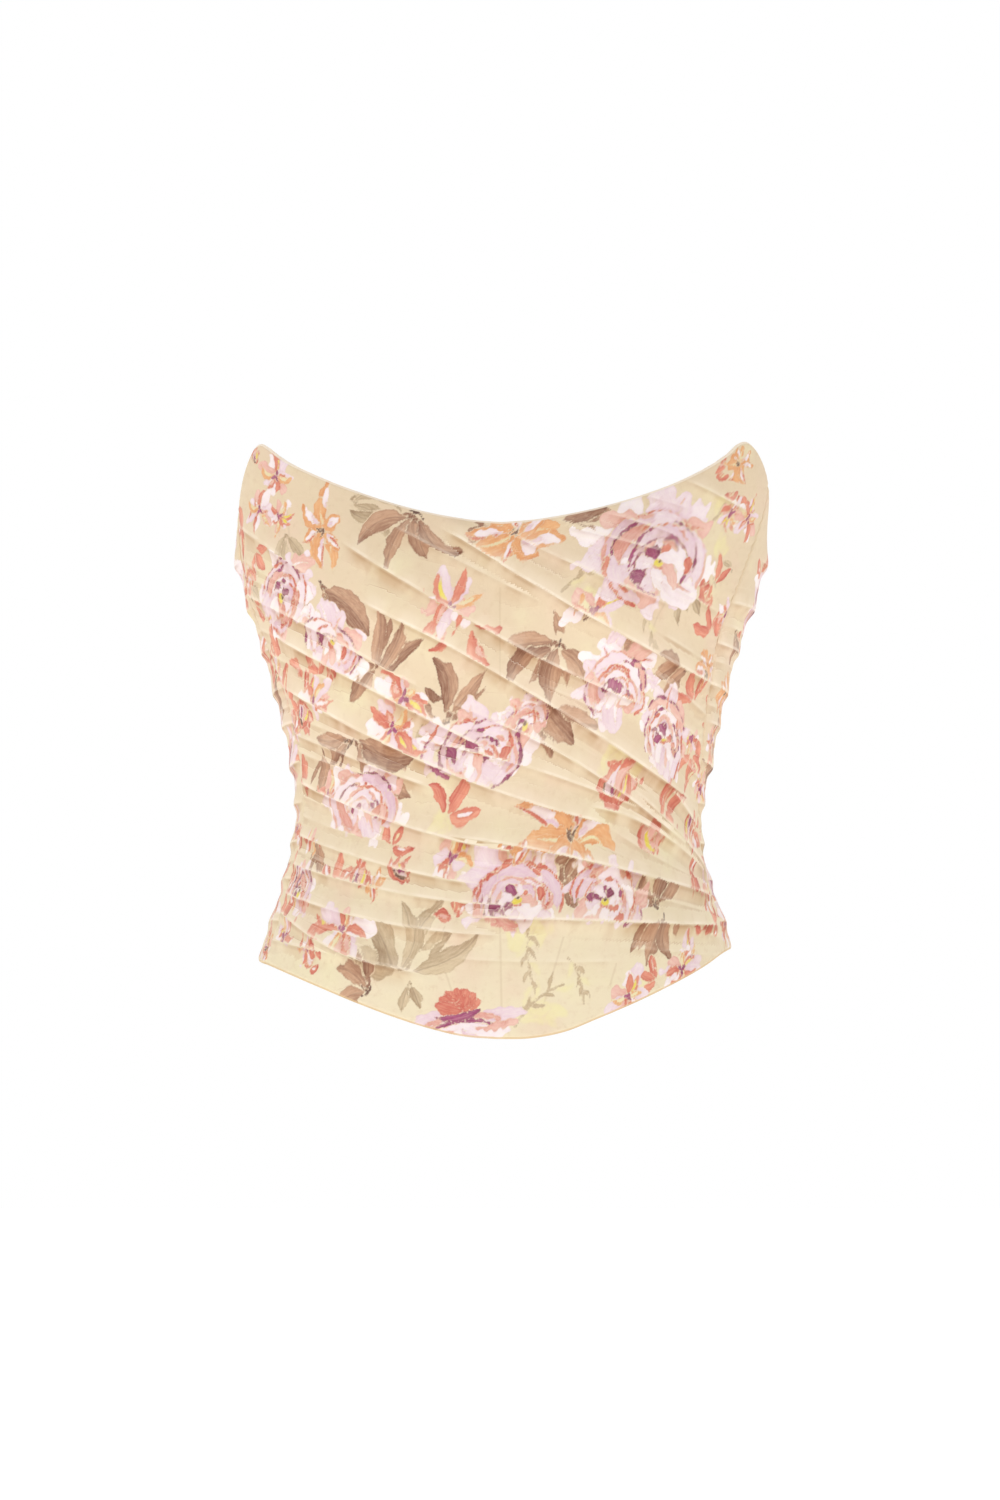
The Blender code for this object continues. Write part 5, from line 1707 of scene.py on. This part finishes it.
class CORSET_OT_zip(bpy.types.Operator):
    """Builds the zip's tape and coil, and finishes its slider and pull tab"""

    bl_idname = "corset.zip"
    bl_label = "Centre-back zip"

    def execute(self, context):
        hem = float(edge_height(HEM, 180.0)) + TAPE_FROM_EDGE
        top = SLIDER_HEIGHT - SLIDER_HALF_BODY - SLIDER_CLEAR
        span = (TAPE_HALF_WIDTH, TAPE_THICK, hem, top, TAPE_ROWS, 0.0)
        mesh = strip_mesh("zip_woven_tape", at_angle(180.0), *span)
        mesh.materials.append(shared_material("zip tape", woven_tape, TAPE_STITCHES))
        link_piece("zip_woven_tape", mesh, "bodice", "bone_casing", "zip_tape")
        teeth = zip_teeth(hem, top)
        teeth.materials.append(shared_material("zip coil nylon", tooth_nylon))
        link_piece("zip_coil", teeth, "bodice", "bone_casing")
        enamel = shared_material("cream enamel", cream_enamel)
        for node in ("zip_slider", "zip_pull"):
            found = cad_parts.get(node)
            if found is None:
                raise RuntimeError(f"the packed corset has no {node}")
            found.data.materials.clear()
            found.data.materials.append(enamel)
        return {"FINISHED"}


class CORSET_OT_studio(bpy.types.Operator):
    """Builds the pale studio, its lights and the camera"""

    bl_idname = "corset.studio"
    bl_label = "Studio"

    def execute(self, context):
        settings = context.scene.corset_studio
        self.floor(settings)
        self.surroundings(context, settings)
        self.lights(settings)
        self.camera(context, settings)
        context.scene.view_settings.view_transform = "Standard"
        return {"FINISHED"}

    def floor(self, settings):
        bm = bmesh.new()
        bmesh.ops.create_grid(bm, x_segments=8, y_segments=8, size=7)
        mesh = bpy.data.meshes.new("studio_floor")
        bm.to_mesh(mesh)
        bm.free()
        floor = bpy.data.objects.new("studio_floor", mesh)
        floor.location.z = settings.floor_height
        mesh.materials.append(shared_material("pale studio floor", studio_floor, settings))
        bpy.context.scene.collection.objects.link(floor)

    def surroundings(self, context, settings):
        """White behind the corset, and a softer light from all round that is stronger from the front."""
        world = bpy.data.worlds.new("studio")
        world.use_nodes = True
        context.scene.world = world
        nodes = Nodes(world.node_tree)
        soft = nodes.tree.nodes["Background"]
        direction = nodes.node("ShaderNodeTexCoord").outputs["Generated"]
        forward = nodes.join("ShaderNodeSeparateXYZ", direction)["Y"]
        behind, in_front = (settings.ambient * share for share in AMBIENT_SHARES)
        strength = nodes.join("ShaderNodeMapRange", forward, 1.0, -1.0, behind, in_front)[0]
        nodes.feed_named(soft.inputs, Color=WARM_WHITE, Strength=strength)
        white = nodes.join("ShaderNodeBackground", WHITE)[0]
        seen = nodes.node("ShaderNodeLightPath").outputs["Is Camera Ray"]
        either = nodes.join("ShaderNodeMixShader", seen, soft.outputs[0], white)[0]
        nodes.feed(nodes.tree.nodes["World Output"].inputs["Surface"], either)

    def lights(self, settings):
        target = Vector((0, 0, 0.03))
        key, fill = settings.key_power, settings.fill_power
        lamps = (
            ("key_above", (-0.15, -1.6, 1.7), key),
            ("fill_left", (-2.0, -0.9, 0.3), fill),
            ("fill_right", (2.0, -0.9, 0.3), fill * 0.8),
            ("back_left", (-1.3, 1.9, 1.2), fill * 1.6),
            ("back_right", (1.3, 1.9, 1.2), fill * 1.6),
        )
        for name, place, power in lamps:
            data = bpy.data.lights.new(name, "AREA")
            data.size, data.energy = LAMP_SIZE, power
            lamp = bpy.data.objects.new(name, data)
            lamp.location = place
            lamp.rotation_euler = (target - Vector(place)).to_track_quat("-Z", "Y").to_euler()
            bpy.context.scene.collection.objects.link(lamp)

    def camera(self, context, settings):
        data = bpy.data.cameras.new("photo_camera")
        data.sensor_fit = "VERTICAL"
        data.sensor_height = SENSOR
        data.lens = SENSOR * settings.camera_distance / settings.frame_height
        camera = bpy.data.objects.new("photo_camera", data)
        camera.location = (0, -settings.camera_distance, settings.camera_height)
        camera.rotation_euler = (math.pi / 2, 0, 0)
        context.scene.collection.objects.link(camera)
        context.scene.camera = camera


class CORSET_PT_panel(bpy.types.Panel):
    """Lists the corset's pieces and settings"""

    bl_idname = "CORSET_PT_panel"
    bl_label = "Draped corset top"
    bl_space_type = "VIEW_3D"
    bl_region_type = "UI"
    bl_category = "Corset"

    def draw(self, context):
        groups = (
            (context.scene.corset_cloth, (CORSET_OT_front, CORSET_OT_side_backs, CORSET_OT_backs)),
            (context.scene.corset_casings, (CORSET_OT_casings, CORSET_OT_zip)),
            (context.scene.corset_studio, (CORSET_OT_studio,)),
        )
        for settings, operators in groups:
            box = self.layout.box()
            for name in settings.bl_rna.properties.keys():
                if name not in ("rna_type", "name"):
                    box.prop(settings, name)
            for operator in operators:
                box.operator(operator.bl_idname)


SETTINGS = {
    "corset_cloth": CorsetClothSettings,
    "corset_casings": CorsetCasingSettings,
    "corset_studio": CorsetStudioSettings,
}
CLASSES = (
    *SETTINGS.values(),
    CORSET_OT_front,
    CORSET_OT_side_backs,
    CORSET_OT_backs,
    CORSET_OT_casings,
    CORSET_OT_zip,
    CORSET_OT_studio,
    CORSET_PT_panel,
)


def register():
    for kind in CLASSES:
        bpy.utils.register_class(kind)
    for name, kind in SETTINGS.items():
        setattr(bpy.types.Scene, name, bpy.props.PointerProperty(type=kind))


def unregister():
    for name in SETTINGS:
        delattr(bpy.types.Scene, name)
    for kind in reversed(CLASSES):
        bpy.utils.unregister_class(kind)


def main():
    register()
    bpy.ops.corset.front()
    bpy.ops.corset.side_backs()
    bpy.ops.corset.backs()
    bpy.ops.corset.casings()
    bpy.ops.corset.zip()
    bpy.ops.corset.studio()


if __name__ == "__main__":
    main()
